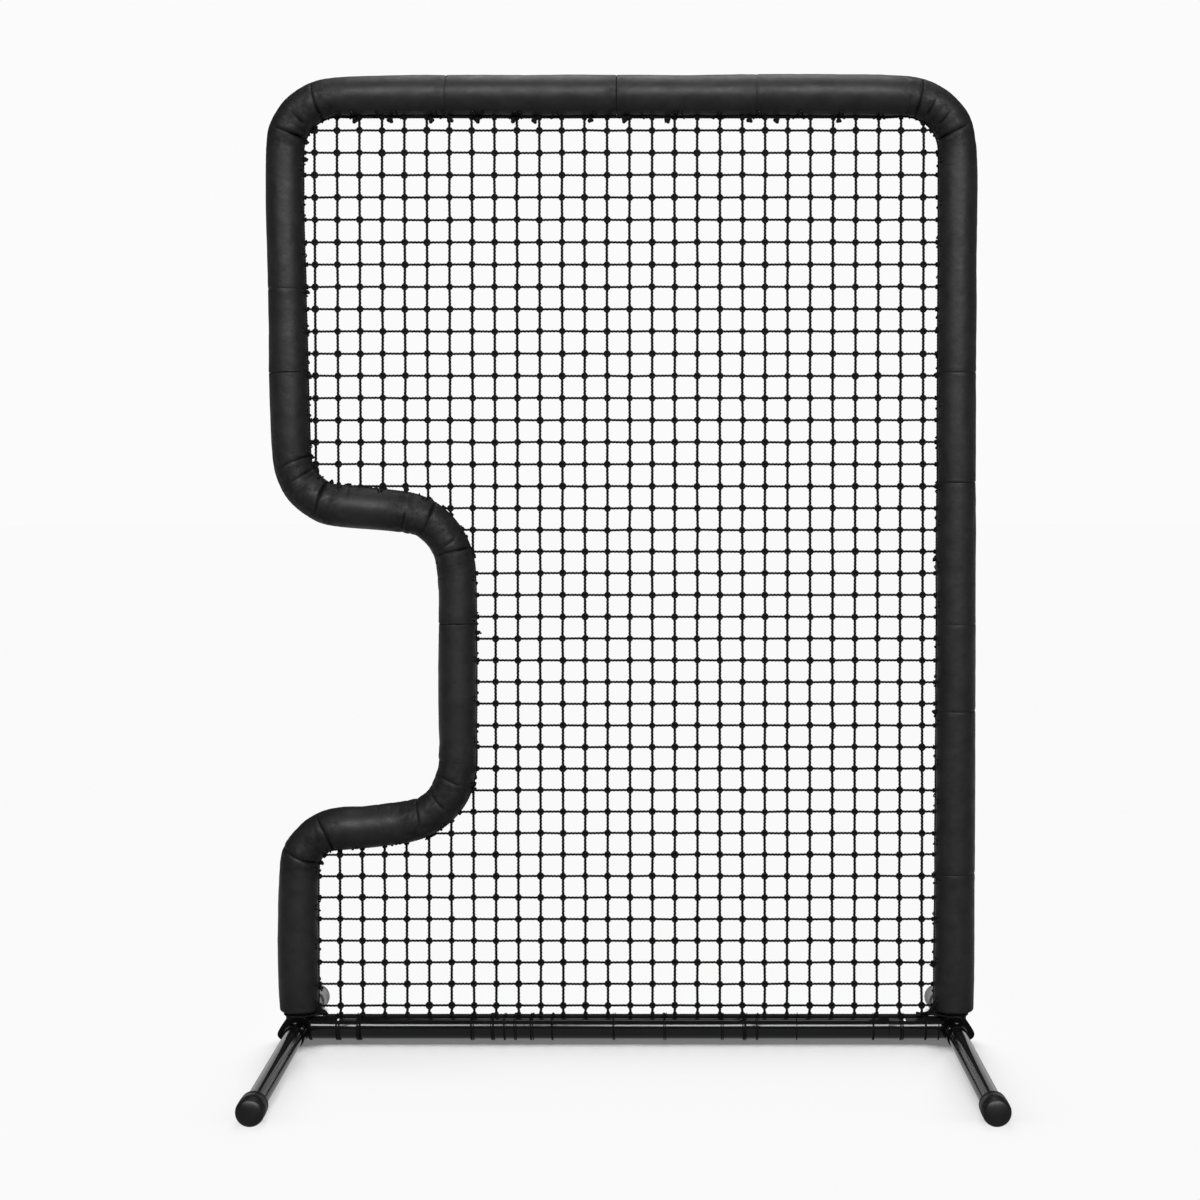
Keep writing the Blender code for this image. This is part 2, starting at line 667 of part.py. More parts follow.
outline = loop(NET_OFF, NET_BOTTOM_Z)
flat = bpy.data.curves.new("net_panel", "CURVE")
flat.dimensions = "2D"
flat.fill_mode = "BOTH"
flat.extrude = NET_T / 2
spline = flat.splines.new("POLY")
spline.points.add(len(outline) - 1)
for q, p in zip(spline.points, outline):
    q.co = (p.x, p.z, 0.0, 1.0)
spline.use_cyclic_u = True
net_curve = bpy.data.objects.new("net_panel_curve", flat)
net_curve.matrix_world = (Matrix.Translation((0, FRAME_Y, 0))
                          @ Matrix.Rotation(math.radians(90), 4, "X"))
bpy.context.scene.collection.objects.link(net_curve)
bpy.context.view_layer.update()
net_mesh = bpy.data.meshes.new_from_object(
    net_curve.evaluated_get(bpy.context.evaluated_depsgraph_get()))
bm = bmesh.new()
bm.from_mesh(net_mesh)
bmesh.ops.remove_doubles(bm, verts=bm.verts, dist=1e-5)
bmesh.ops.recalc_face_normals(bm, faces=bm.faces)
bm.to_mesh(net_mesh)
bm.free()
net = add("net_panel", net_mesh, TWINE)
net.matrix_world = net_curve.matrix_world
bpy.data.objects.remove(net_curve)



def lacing(name, path, s0, s1, side):
    """Cord that zigzags between the cover's grommets and the border rope."""
    count = int(round((s1 - s0) / LACE_PITCH))
    tilt = math.radians(30)
    points = []
    for k in range(count):
        s = s0 + (s1 - s0) * (k + 0.5) / count
        for shift, high in ((-0.036, False), (-0.012, False), (0.0, True),
                            (0.012, False)):
            point, tangent = at(path, s + shift)
            inward = Y_AXIS.cross(tangent).normalized() * side
            if high:
                radial = inward * math.cos(tilt) - Y_AXIS * math.sin(tilt)
                points.append(point + radial * (PAD_R + LACE_R + 0.0014))
            else:
                points.append(point + inward * (PAD_R + 0.0032)
                              - Y_AXIS * (ROPE_R + LACE_R + 0.0012))
    polyline(name, points, LACE_R, ROPE, False, 0)


lacing("lacing_left", LEFT, 0.006, LS[-1] - 0.03, NET_LEFT)
lacing("lacing_right", RIGHT, 0.006, RS[-1] - 0.03, NET_RIGHT)

# one cord lashes the net's lower edge: it runs along the rail, with wraps
ring_r = TUBE_R + 0.0003 + TIE_WIRE_R
run_tilt = math.radians(35)
lash_y = FRAME_Y - ring_r * math.sin(run_tilt)
lash_z = LEG_Z + ring_r * math.cos(run_tilt)
lash = polyline("rail_lashing", [(TIE_X[0] - 0.004, lash_y, lash_z),
                                 (TIE_X[-1] + 0.004, lash_y, lash_z)],
                TIE_WIRE_R, ROPE, False, 0)
lo_r, hi_r = ring_r - TIE_WIRE_R, ring_r + TIE_WIRE_R
lo_r /= math.cos(math.pi / 16)
for k, x in enumerate(TIE_X):
    wrap = turned("lashing_wrap_%02d" % k,
                  [(lo_r, -TIE_WIRE_R), (lo_r, TIE_WIRE_R),
                   (hi_r, TIE_WIRE_R), (hi_r, -TIE_WIRE_R)],
                  (x, FRAME_Y, LEG_Z), (1, 0, 0), ROPE, 16, col=CUTTERS)
    wrap.hide_render = True
    wrap.display_type = "WIRE"
    boolean(lash, wrap, "UNION")
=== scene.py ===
import json
import math

import bpy
import numpy as np
from mathutils import Matrix, Vector

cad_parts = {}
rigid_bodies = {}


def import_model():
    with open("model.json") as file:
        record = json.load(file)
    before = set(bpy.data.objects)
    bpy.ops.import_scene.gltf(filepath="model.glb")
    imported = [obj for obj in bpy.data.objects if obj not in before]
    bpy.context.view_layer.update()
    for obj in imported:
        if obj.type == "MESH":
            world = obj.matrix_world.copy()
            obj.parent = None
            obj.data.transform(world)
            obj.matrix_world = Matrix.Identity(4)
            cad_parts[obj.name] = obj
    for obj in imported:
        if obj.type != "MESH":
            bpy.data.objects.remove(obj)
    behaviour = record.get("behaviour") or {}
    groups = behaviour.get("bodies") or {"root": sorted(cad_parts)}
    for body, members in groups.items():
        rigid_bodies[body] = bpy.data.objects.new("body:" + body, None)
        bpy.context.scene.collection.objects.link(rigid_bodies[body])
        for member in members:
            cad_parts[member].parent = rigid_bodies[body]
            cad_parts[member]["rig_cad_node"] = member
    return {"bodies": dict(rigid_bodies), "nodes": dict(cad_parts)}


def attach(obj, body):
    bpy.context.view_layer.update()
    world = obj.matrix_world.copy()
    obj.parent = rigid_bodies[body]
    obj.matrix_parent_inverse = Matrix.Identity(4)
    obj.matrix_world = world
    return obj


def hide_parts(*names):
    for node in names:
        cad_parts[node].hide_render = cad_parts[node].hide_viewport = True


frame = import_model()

NODES, BODIES = frame["nodes"], frame["bodies"]
for ob in list(bpy.data.objects):
    if "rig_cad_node" not in ob and ob not in list(BODIES.values()):
        bpy.data.objects.remove(ob)
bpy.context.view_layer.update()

# ------------------------------------------------------------ sizes, metres
FRAME_Y = 0.174
LEG_HALF, LEG_Z = 0.456, 0.028
TUBE_R = 0.0254
PAD_R = 0.0433
TOP_Z, RIGHT_X, TOP_LEFT_X, LEFT_X = 2.0895, 0.7377, -0.7399, -0.7185
TOP_JOINT_X = -0.0106
ARM1_OUT, ARM1_IN = (-0.7238, 1.1990), (-0.3641, 1.1696)
ARM2_IN, ARM2_OUT = (-0.3631, 0.4964), (-0.7185, 0.4660)
END_Z = 0.0668
LEG_R = 0.0211
SLEEVE_R, SLEEVE_Y = 0.02415, (0.085, 0.263)
COLLAR_R, COLLAR_Z = 0.0297, (0.036, 0.0665)
STUB_END = {"left": -0.5858, "right": 0.5938}
RAIL_JOINT_X = 0.2739
CAP_R, CAP_LEN = 0.0288, 0.055
BUTTON_R = 0.00395
LEG_BUTTON_Y, SCREW_Y = 0.100, 0.114
RAIL_BUTTON_X = {"left": -0.6297, "right": 0.6290}
ROPE_R = 0.0024
ROPE_OFF = 0.0435 + 0.0004 + ROPE_R
RAIL_TOP = LEG_Z + TUBE_R
ROPE_RAIL_Z = RAIL_TOP + 0.0002 + ROPE_R
CORNERS = {"left": LEFT_X, "right": RIGHT_X}
rng = np.random.RandomState(7)


# ------------------------------------------------------------ mesh buffers
class Buf:
    """Collects quads and triangles, then makes one mesh object."""

    def __init__(self):
        self.v, self.q, self.t, self.n, self.uv = [], [], [], 0, []

    def add(self, verts, quads=None, tris=None):
        verts = np.asarray(verts, np.float64).reshape(-1, 3)
        if quads is not None and len(quads):
            self.q.append(np.asarray(quads, np.int64) + self.n)
        if tris is not None and len(tris):
            self.t.append(np.asarray(tris, np.int64) + self.n)
        self.v.append(verts)
        self.n += len(verts)

    def grid(self, pts, close_u=False, close_v=True, flip=False):
        """pts[i, j]: rows i along, columns j around."""
        nu, nv = pts.shape[:2]
        idx = np.arange(nu * nv).reshape(nu, nv)
        if close_u:
            idx = np.vstack([idx, idx[:1]])
        if close_v:
            idx = np.hstack([idx, idx[:, :1]])
        a, b = idx[:-1, :-1], idx[1:, :-1]
        c, d = idx[1:, 1:], idx[:-1, 1:]
        q = np.stack([a, b, c, d], -1).reshape(-1, 4)
        self.add(pts.reshape(-1, 3), q[:, ::-1] if flip else q)

    def fan(self, ring, tip, flip=False):
        n = len(ring)
        i = np.arange(n)
        t = np.stack([i, (i + 1) % n, np.full(n, n)], -1)
        self.add(np.vstack([ring, tip]), tris=t[:, ::-1] if flip else t)

    def make(self, name, mat, body="screen", slot=None, smooth=True,
             sharp=None):
        v = np.concatenate(self.v)
        q = np.concatenate(self.q) if self.q else np.zeros((0, 4), int)
        t = np.concatenate(self.t) if self.t else np.zeros((0, 3), int)
        me = bpy.data.meshes.new(name)
        me.vertices.add(len(v))
        me.vertices.foreach_set("co", v.astype(np.float32).ravel())
        loops = np.concatenate([q.ravel(), t.ravel()])
        me.loops.add(len(loops))
        me.loops.foreach_set("vertex_index", loops.astype(np.int32))
        sizes = np.concatenate([np.full(len(q), 4), np.full(len(t), 3)])
        begin = np.concatenate([[0], np.cumsum(sizes)[:-1]])
        me.polygons.add(len(sizes))
        me.polygons.foreach_set("loop_start", begin.astype(np.int32))
        me.polygons.foreach_set("loop_total", sizes.astype(np.int32))
        me.update(calc_edges=True)
        me.validate()
        if smooth:
            me.shade_smooth()
        if sharp is not None:
            me.set_sharp_from_angle(angle=math.radians(sharp))
        ob = bpy.data.objects.new(name, me)
        bpy.context.scene.collection.objects.link(ob)
        me.materials.append(mat)
        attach(ob, body)
        return ob


def smoothstep(x):
    x = np.clip(x, 0.0, 1.0)
    return x * x * (3 - 2 * x)


def lattice(u, v, seed, period_v):
    """Smooth value noise, -1 to 1, repeating round v."""
    table = np.random.RandomState(seed).uniform(-1, 1, (257, period_v))
    iu, iv = np.floor(u).astype(int), np.floor(v).astype(int)
    fu, fv = u - iu, v - iv
    fu, fv = fu * fu * (3 - 2 * fu), fv * fv * (3 - 2 * fv)

    def at(i, j):
        return table[i % 257, j % period_v]

    a = at(iu, iv) * (1 - fu) + at(iu + 1, iv) * fu
    b = at(iu, iv + 1) * (1 - fu) + at(iu + 1, iv + 1) * fu
    return a * (1 - fv) + b * fv


# ------------------------------------------------------- frame centrelines
class Path:
    """Straight runs and arcs in the frame's plane; side +1 or -1 turns the
    direction of travel into the direction of the net."""

    def __init__(self, points, radii, side):
        pts = [np.array(p, float) for p in points]
        self.parts, self.side = [], side
        start, s = pts[0], 0.0
        for i in range(1, len(pts) - 1):
            d1 = (pts[i] - pts[i - 1]) / np.linalg.norm(pts[i] - pts[i - 1])
            d2 = (pts[i + 1] - pts[i]) / np.linalg.norm(pts[i + 1] - pts[i])
            ang = math.acos(float(np.clip(d1 @ d2, -1, 1)))
            r = radii[i - 1]
            run = r * math.tan(ang / 2)
            a, b = pts[i] - d1 * run, pts[i] + d2 * run
            turn = 1.0 if d1[0] * d2[1] - d1[1] * d2[0] > 0 else -1.0
            c = a + np.array([-d1[1], d1[0]]) * turn * r
            length = np.linalg.norm(a - start)
            self.parts.append(("line", s, length, start, d1))
            s += length
            self.parts.append(("arc", s, ang * r, a, d1, c, turn, r))
            s += ang * r
            start = b
        d = pts[-1] - start
        length = np.linalg.norm(d)
        self.parts.append(("line", s, length, start, d / length))
        self.length = s + length

    def sample(self, ss):
        """Points (x, z), tangents and curvature towards the net, per s."""
        ss = np.asarray(ss, float)
        shape = ss.shape
        ss = ss.ravel()
        p, t, k = (np.zeros((len(ss), 2)), np.zeros((len(ss), 2)),
                   np.zeros(len(ss)))
        for i, part in enumerate(self.parts):
            lo = -1e9 if i == 0 else part[1]
            hi = 1e9 if i == len(self.parts) - 1 else part[1] + part[2]
            m = (ss >= lo) & (ss < hi)
            x = ss[m] - part[1]
            if part[0] == "line":
                p[m] = part[3] + part[4] * x[:, None]
                t[m] = part[4]
                continue
            c, turn, r = part[5], part[6], part[7]
            a = turn * x / r
            ca, sa = np.cos(a), np.sin(a)
            d, g = part[3] - c, part[4]
            p[m] = c + np.stack([d[0] * ca - d[1] * sa,
                                 d[0] * sa + d[1] * ca], -1)
            t[m] = np.stack([g[0] * ca - g[1] * sa,
                             g[0] * sa + g[1] * ca], -1)
            k[m] = turn * self.side / r
        return (p.reshape(*shape, 2), t.reshape(*shape, 2), k.reshape(shape))

    def inward(self, t):
        return np.stack([-t[..., 1], t[..., 0]], -1) * self.side

    def at(self, s, radius=0.0, phi=0.0):
        """Point at angle phi round the centreline: 0 is the net's side, 90
        degrees the front."""
        p, t, _ = self.sample(np.asarray(s, float))
        n = self.inward(t)
        radius, phi = np.asarray(radius, float), np.asarray(phi, float)
        x = p[..., 0] + n[..., 0] * radius * np.cos(phi)
        z = p[..., 1] + n[..., 1] * radius * np.cos(phi)
        y = FRAME_Y - radius * np.sin(phi) + 0 * x
        return np.stack([x, y, z], -1)

    def s_at_z(self, index, z):
        part = self.parts[index]
        return part[1] + (z - part[3][1]) / part[4][1]


LEFT = Path([(TOP_JOINT_X, TOP_Z), (TOP_LEFT_X, TOP_Z), ARM1_OUT, ARM1_IN,
             ARM2_IN, ARM2_OUT, (LEFT_X, END_Z)],
            [0.122, 0.113, 0.133, 0.161, 0.0835], 1)
RIGHT = Path([(TOP_JOINT_X, TOP_Z), (RIGHT_X, TOP_Z), (RIGHT_X, END_Z)],
             [0.122], -1)
L_JOINT, C_JOINT = LEFT.s_at_z(2, 1.4844), LEFT.s_at_z(6, 0.9317)
R_JOINT = RIGHT.s_at_z(2, 1.2436)


# The pads aren't quite round or central on their tubes: distance along the
# path, reach of the pad on its outer side and on the net's side, in mm.
LEFT_SHAPE = np.array([
    (0.000, 45.1, 44.0), (0.100, 45.4, 44.3), (0.200, 44.4, 44.3),
    (0.320, 45.1, 44.0), (0.340, 45.2, 44.0), (0.380, 44.1, 44.0),
    (0.420, 44.5, 44.0), (0.455, 43.9, 44.0), (0.500, 43.5, 44.0),
    (0.550, 42.5, 44.0), (0.590, 40.9, 44.5), (0.605, 39.5, 44.8),
    (0.620, 38.9, 45.0), (0.635, 40.1, 45.0), (0.650, 40.8, 45.0),
    (0.665, 41.1, 45.0), (0.680, 41.5, 45.0), (0.695, 42.1, 44.8),
    (0.710, 42.8, 44.5), (0.725, 42.5, 44.0), (0.755, 43.7, 43.0),
    (0.785, 40.6, 42.5), (0.830, 42.2, 41.3), (0.875, 43.1, 40.4),
    (0.935, 44.3, 38.9), (1.010, 44.4, 39.2), (1.070, 44.2, 40.2),
    (1.115, 44.7, 39.3), (1.190, 44.6, 40.0), (1.250, 46.2, 39.9),
    (1.295, 47.1, 40.0), (1.370, 46.9, 40.2), (1.430, 45.8, 40.5),
    (1.475, 43.2, 41.5), (1.505, 43.1, 42.5), (1.535, 44.5, 44.5),
    (1.565, 44.1, 44.6), (1.580, 44.6, 44.6), (1.595, 46.1, 45.1),
    (1.625, 46.1, 46.0), (1.640, 46.8, 46.5), (1.655, 46.9, 46.2),
    (1.685, 46.5, 45.8), (1.700, 46.1, 45.5), (1.715, 45.8, 45.1),
    (1.745, 46.9, 44.2), (1.775, 47.5, 43.1), (1.790, 47.3, 42.5),
    (1.805, 45.9, 42.1), (1.820, 43.8, 41.7), (1.835, 44.0, 40.9),
    (1.850, 44.5, 40.0), (1.865, 43.6, 39.5), (1.880, 43.6, 38.9),
    (1.895, 44.7, 38.9), (1.910, 43.9, 38.9), (1.925, 43.6, 39.4),
    (1.940, 45.3, 39.8), (1.970, 43.3, 41.8), (2.015, 40.4, 43.2),
    (2.060, 40.9, 43.4), (2.105, 41.1, 43.4), (2.180, 42.4, 43.8),
    (2.255, 42.8, 43.3), (2.315, 42.8, 42.2), (2.345, 40.7, 42.8),
    (2.375, 42.6, 43.3), (2.405, 39.2, 46.0), (2.435, 39.7, 48.8),
    (2.450, 37.4, 50.2), (2.465, 35.8, 50.6), (2.480, 34.0, 51.0),
    (2.495, 34.5, 50.7), (2.510, 35.8, 50.5), (2.525, 37.9, 49.8),
    (2.540, 41.2, 49.0), (2.555, 44.2, 47.6), (2.570, 46.0, 46.2),
    (2.600, 47.9, 45.3), (2.645, 46.1, 47.0), (2.670, 45.2, 47.4),
    (2.705, 48.2, 47.2), (2.735, 47.2, 47.2), (2.765, 41.6, 47.4),
    (2.795, 38.3, 47.4), (2.825, 40.6, 47.4), (2.855, 41.0, 46.8),
    (2.900, 43.8, 45.8), (2.945, 45.8, 45.5), (3.020, 46.8, 45.2),
    (3.080, 47.1, 45.2), (3.125, 45.9, 44.8), (3.170, 44.0, 44.3)])
RIGHT_SHAPE = np.array([
    (0.000, 45.0, 44.2), (0.110, 44.3, 44.2), (0.200, 44.9, 44.2),
    (0.290, 45.7, 44.2), (0.350, 46.5, 44.2), (0.395, 46.1, 44.2),
    (0.440, 47.0, 44.2), (0.485, 45.8, 44.2), (0.545, 45.8, 44.3),
    (0.575, 45.3, 44.7), (0.600, 44.0, 45.0), (0.635, 42.4, 45.0),
    (0.665, 42.2, 44.5), (0.695, 42.3, 44.0), (0.710, 42.9, 43.8),
    (0.765, 44.2, 43.4), (0.785, 41.8, 43.6), (0.800, 40.3, 43.6),
    (0.830, 42.2, 43.6), (0.875, 43.6, 43.6), (0.950, 43.4, 43.2),
    (1.085, 42.4, 42.6), (1.190, 43.1, 42.9), (1.300, 42.9, 42.8),
    (1.400, 43.2, 42.9), (1.475, 43.6, 42.6), (1.535, 43.1, 41.8),
    (1.580, 44.5, 42.6), (1.650, 45.3, 43.2), (1.730, 44.9, 43.2),
    (1.820, 45.2, 42.2), (1.910, 45.8, 42.2), (2.000, 46.1, 42.5),
    (2.090, 46.2, 42.0), (2.150, 46.7, 42.7), (2.240, 46.9, 42.2),
    (2.330, 47.3, 42.8), (2.420, 46.7, 41.8), (2.500, 46.6, 42.8),
    (2.600, 47.6, 43.4), (2.645, 47.5, 43.4), (2.690, 46.5, 43.1),
    (2.710, 46.0, 42.8)])
LEFT.shape, RIGHT.shape = LEFT_SHAPE, RIGHT_SHAPE


def reach(path, ss):
    """Mean radius of the pad and its shift toward the net, in metres."""
    out, inn = 0, 0
    for d in (-0.004, -0.002, 0.0, 0.002, 0.004):
        out = out + np.interp(ss + d, path.shape[:, 0], path.shape[:, 1])
        inn = inn + np.interp(ss + d, path.shape[:, 0], path.shape[:, 2])
    return ((out + inn) / 10000.0 - 0.0002, (inn - out) / 10000.0)


def upright(t):
    """1 where the tube stands, 0 where it lies."""
    return 1 - smoothstep((np.abs(t[..., 0]) - 0.45) / 0.4)


def hang(ss):
    """1 along the top bar, where the rope hangs clear, 0 beyond its bend."""
    return 1 - smoothstep((ss - 0.57) / 0.09)


def rope_offset(path, ss):
    """How far the border rope lies from the centreline."""
    mean, shift = reach(path, ss)
    return mean + shift - 0.0008 + 0.0034 * hang(ss)


# ---------------------------------------------------------------- materials
def nodes_of(name):
    mat = bpy.data.materials.new(name)
    mat.use_nodes = True
    nt = mat.node_tree
    return mat, nt, nt.nodes["Principled BSDF"]


def link(nt, a, out, b, inp):
    nt.links.new(a.outputs[out], b.inputs[inp])


def tex(nt, kind, scale, detail=2.0, rough=0.5, stretch=None, **more):
    coord = nt.nodes.new("ShaderNodeTexCoord")
    source = coord
    out = "Object"
    if stretch is not None:
        m = nt.nodes.new("ShaderNodeMapping")
        m.inputs["Scale"].default_value = stretch
        link(nt, coord, "Object", m, "Vector")
        source, out = m, "Vector"
    t = nt.nodes.new(kind)
    link(nt, source, out, t, "Vector")
    t.inputs["Scale"].default_value = scale
    if "Detail" in t.inputs:
        t.inputs["Detail"].default_value = detail
    if "Roughness" in t.inputs and kind == "ShaderNodeTexNoise":
        t.inputs["Roughness"].default_value = rough
    for key, value in more.items():
        setattr(t, key, value)
    return t


def ramp(nt, source, out, stops):
    r = nt.nodes.new("ShaderNodeValToRGB")
    link(nt, source, out, r, "Fac")
    els = r.color_ramp.elements
    while len(els) < len(stops):
        els.new(0.5)
    for e, (pos, value) in zip(els, stops):
        e.position = pos
        e.color = value if len(value) == 4 else (*value, 1.0)
    return r


def grey(v):
    return (v, v, v, 1.0)


def bump(nt, height, out, strength, distance, before=None):
    b = nt.nodes.new("ShaderNodeBump")
    b.inputs["Strength"].default_value = strength
    b.inputs["Distance"].default_value = distance
    link(nt, height, out, b, "Height")
    if before is not None:
        link(nt, before, "Normal", b, "Normal")
    return b


def vinyl_material():
    mat, nt, p = nodes_of("vinyl")
    cloud = tex(nt, "ShaderNodeTexNoise", 24.0, 6.0, 0.68)
    col = ramp(nt, cloud, "Fac", [(0.32, (0.0048, 0.0048, 0.0050, 1)),
                                  (0.55, (0.0076, 0.0076, 0.0078, 1)),
                                  (0.78, (0.0112, 0.0111, 0.0110, 1))])
    # where bends and creases crumple the skin it is rougher and worn, and its
    # colour is darkened in mottled patches as painted shade of the wrinkles
    worn_and_shaded = nt.nodes.new("ShaderNodeAttribute")
    worn_and_shaded.attribute_name = "worn_and_shaded"
    blotch = tex(nt, "ShaderNodeTexNoise", 60.0, 6.0, 0.72)
    spots = ramp(nt, blotch, "Fac", [(0.38, grey(0.10)), (0.60, grey(1.0))])
    dull_and_shade = nt.nodes.new("ShaderNodeMath")
    dull_and_shade.operation = "MULTIPLY"
    link(nt, worn_and_shaded, "Fac", dull_and_shade, 0)
    link(nt, spots, "Color", dull_and_shade, 1)
    # painted shade along the crease lines
    crease_shade = nt.nodes.new("ShaderNodeAttribute")
    crease_shade.attribute_name = "crease_shade"
    most = nt.nodes.new("ShaderNodeMath")
    most.operation = "MAXIMUM"
    nt.links.new(dull_and_shade.outputs[0], most.inputs[0])
    link(nt, crease_shade, "Fac", most, 1)
    dull_and_shade = most
    # mix toward a near-black painted shade colour
    tint = nt.nodes.new("ShaderNodeMix")
    tint.data_type = "RGBA"
    nt.links.new(dull_and_shade.outputs[0], tint.inputs[0])
    nt.links.new(col.outputs["Color"], tint.inputs[6])
    tint.inputs[7].default_value = (0.0012, 0.0012, 0.0013, 1)
    nt.links.new(tint.outputs[2], p.inputs["Base Color"])
    patch = tex(nt, "ShaderNodeTexNoise", 22.0, 5.0, 0.65)
    rough = ramp(nt, patch, "Fac", [(0.25, grey(0.38)), (0.75, grey(0.58))])
    more = nt.nodes.new("ShaderNodeMath")
    more.operation = "MULTIPLY_ADD"
    nt.links.new(dull_and_shade.outputs[0], more.inputs[0])
    more.inputs[1].default_value = 0.24
    link(nt, rough, "Color", more, 2)
    nt.links.new(more.outputs[0], p.inputs["Roughness"])
    p.inputs["Specular IOR Level"].default_value = 0.20
    grain = tex(nt, "ShaderNodeTexVoronoi", 620.0)
    pores = tex(nt, "ShaderNodeTexNoise", 1500.0, 3.0, 0.6)
    soft = tex(nt, "ShaderNodeTexNoise", 45.0, 3.0, 0.5)
    b1 = bump(nt, soft, "Fac", 0.22, 0.004)
    b2 = bump(nt, grain, "Distance", 0.16, 0.0004, b1)
    b3 = bump(nt, pores, "Fac", 0.10, 0.0002, b2)
    link(nt, b3, "Normal", p, "Normal")
    return mat


def steel_material(name, specular, k=1.0):
    mat, nt, p = nodes_of(name)
    cloud = tex(nt, "ShaderNodeTexNoise", 14.0, 4.0, 0.6)
    col = ramp(nt, cloud, "Fac", [
        (0.3, (0.0025 * k, 0.0025 * k, 0.0027 * k, 1)),
        (0.7, (0.0042 * k, 0.0042 * k, 0.0044 * k, 1))])
    link(nt, col, "Color", p, "Base Color")
    scuff = tex(nt, "ShaderNodeTexNoise", 60.0, 6.0, 0.7)
    rough = ramp(nt, scuff, "Fac", [(0.35, grey(0.10)), (0.70, grey(0.16)),
                                    (0.80, grey(0.32))])
    link(nt, rough, "Color", p, "Roughness")
    p.inputs["Specular IOR Level"].default_value = specular
    peel = tex(nt, "ShaderNodeTexNoise", 420.0, 2.0, 0.5)
    b = bump(nt, peel, "Fac", 0.10, 0.0004)
    link(nt, b, "Normal", p, "Normal")
    return mat


def twine_material(name, base, rough):
    mat, nt, p = nodes_of(name)
    cloud = tex(nt, "ShaderNodeTexNoise", 30.0, 3.0, 0.6)
    col = ramp(nt, cloud, "Fac", [(0.3, grey(base * 0.75)),
                                  (0.75, grey(base * 1.5))])
    link(nt, col, "Color", p, "Base Color")
    fibre = tex(nt, "ShaderNodeTexNoise", 900.0, 3.0, 0.7)
    rg = ramp(nt, fibre, "Fac", [(0.3, grey(rough - 0.12)),
                                 (0.7, grey(rough + 0.12))])
    link(nt, rg, "Color", p, "Roughness")
    p.inputs["Specular IOR Level"].default_value = 0.10
    b = bump(nt, fibre, "Fac", 0.45, 0.0005)
    link(nt, b, "Normal", p, "Normal")
    return mat


def rubber_material(name, k, smooth=0.0):
    mat, nt, p = nodes_of(name)
    cloud = tex(nt, "ShaderNodeTexNoise", 40.0, 5.0, 0.65)
    col = ramp(nt, cloud, "Fac", [
        (0.35, (0.0040 * k, 0.0040 * k, 0.0041 * k, 1)),
        (0.65, (0.0055 * k, 0.0055 * k, 0.0056 * k, 1)),
        (0.85, (0.0080 * k, 0.0079 * k, 0.0077 * k, 1))])
    link(nt, col, "Color", p, "Base Color")
    rg = ramp(nt, cloud, "Fac", [(0.3, grey(0.50 - smooth)),
                                 (0.8, grey(0.68 - smooth))])
    link(nt, rg, "Color", p, "Roughness")
    p.inputs["Specular IOR Level"].default_value = 0.25
    pebble = tex(nt, "ShaderNodeTexNoise", 850.0, 3.0, 0.6)
    b = bump(nt, pebble, "Fac", 0.22, 0.0004)
    link(nt, b, "Normal", p, "Normal")
    return mat


def zinc_material(name, base, rough):
    mat, nt, p = nodes_of(name)
    spangle = tex(nt, "ShaderNodeTexNoise", 300.0, 4.0, 0.6)
    col = ramp(nt, spangle, "Fac", [(0.3, grey(base * 0.82)),
                                    (0.7, grey(base * 1.1))])
    link(nt, col, "Color", p, "Base Color")
    p.inputs["Metallic"].default_value = 1.0
    rg = ramp(nt, spangle, "Fac", [(0.3, grey(rough - 0.07)),
                                   (0.7, grey(rough + 0.10))])
    link(nt, rg, "Color", p, "Roughness")
    b = bump(nt, spangle, "Fac", 0.12, 0.0002)
    link(nt, b, "Normal", p, "Normal")
    return mat


VINYL = vinyl_material()
STEEL = steel_material("powder_coat", 0.26)
# a darker, less shiny copy of the powder coat for the corner fittings: painted
# shade of the shadowed corners, with duller welded steel
SHADED_COAT = steel_material("shaded_coat", 0.05, 0.5)
TWINE = twine_material("net_twine", 0.0009, 0.66)
ROPE = twine_material("braided_cord", 0.0024, 0.68)
RUBBER = rubber_material("moulded_rubber", 0.55, 0.16)
GREY_RUBBER = rubber_material("grey_rubber", 50.0)
ZINC = zinc_material("zinc_plate", 0.62, 0.30)
NICKEL = zinc_material("nickel", 0.030, 0.42)
DULL_ZINC = zinc_material("dull_zinc", 0.07, 0.32)

for node, ob in NODES.items():
    if node.startswith(("frame_", "splice_", "corner_", "rail_left",
                        "rail_right", "leg_left", "leg_right")):
        mat = STEEL
    elif node.startswith("foot_cap"):
        mat = RUBBER
    elif node.startswith(("net_border", "lacing", "rail_lashing")):
        mat = ROPE
    elif node.startswith("net_panel"):
        mat = TWINE
    elif node.startswith(("cover", "foam")):
        mat = VINYL
    else:
        mat = ZINC
    for slot_ in ob.material_slots:
        slot_.material = mat

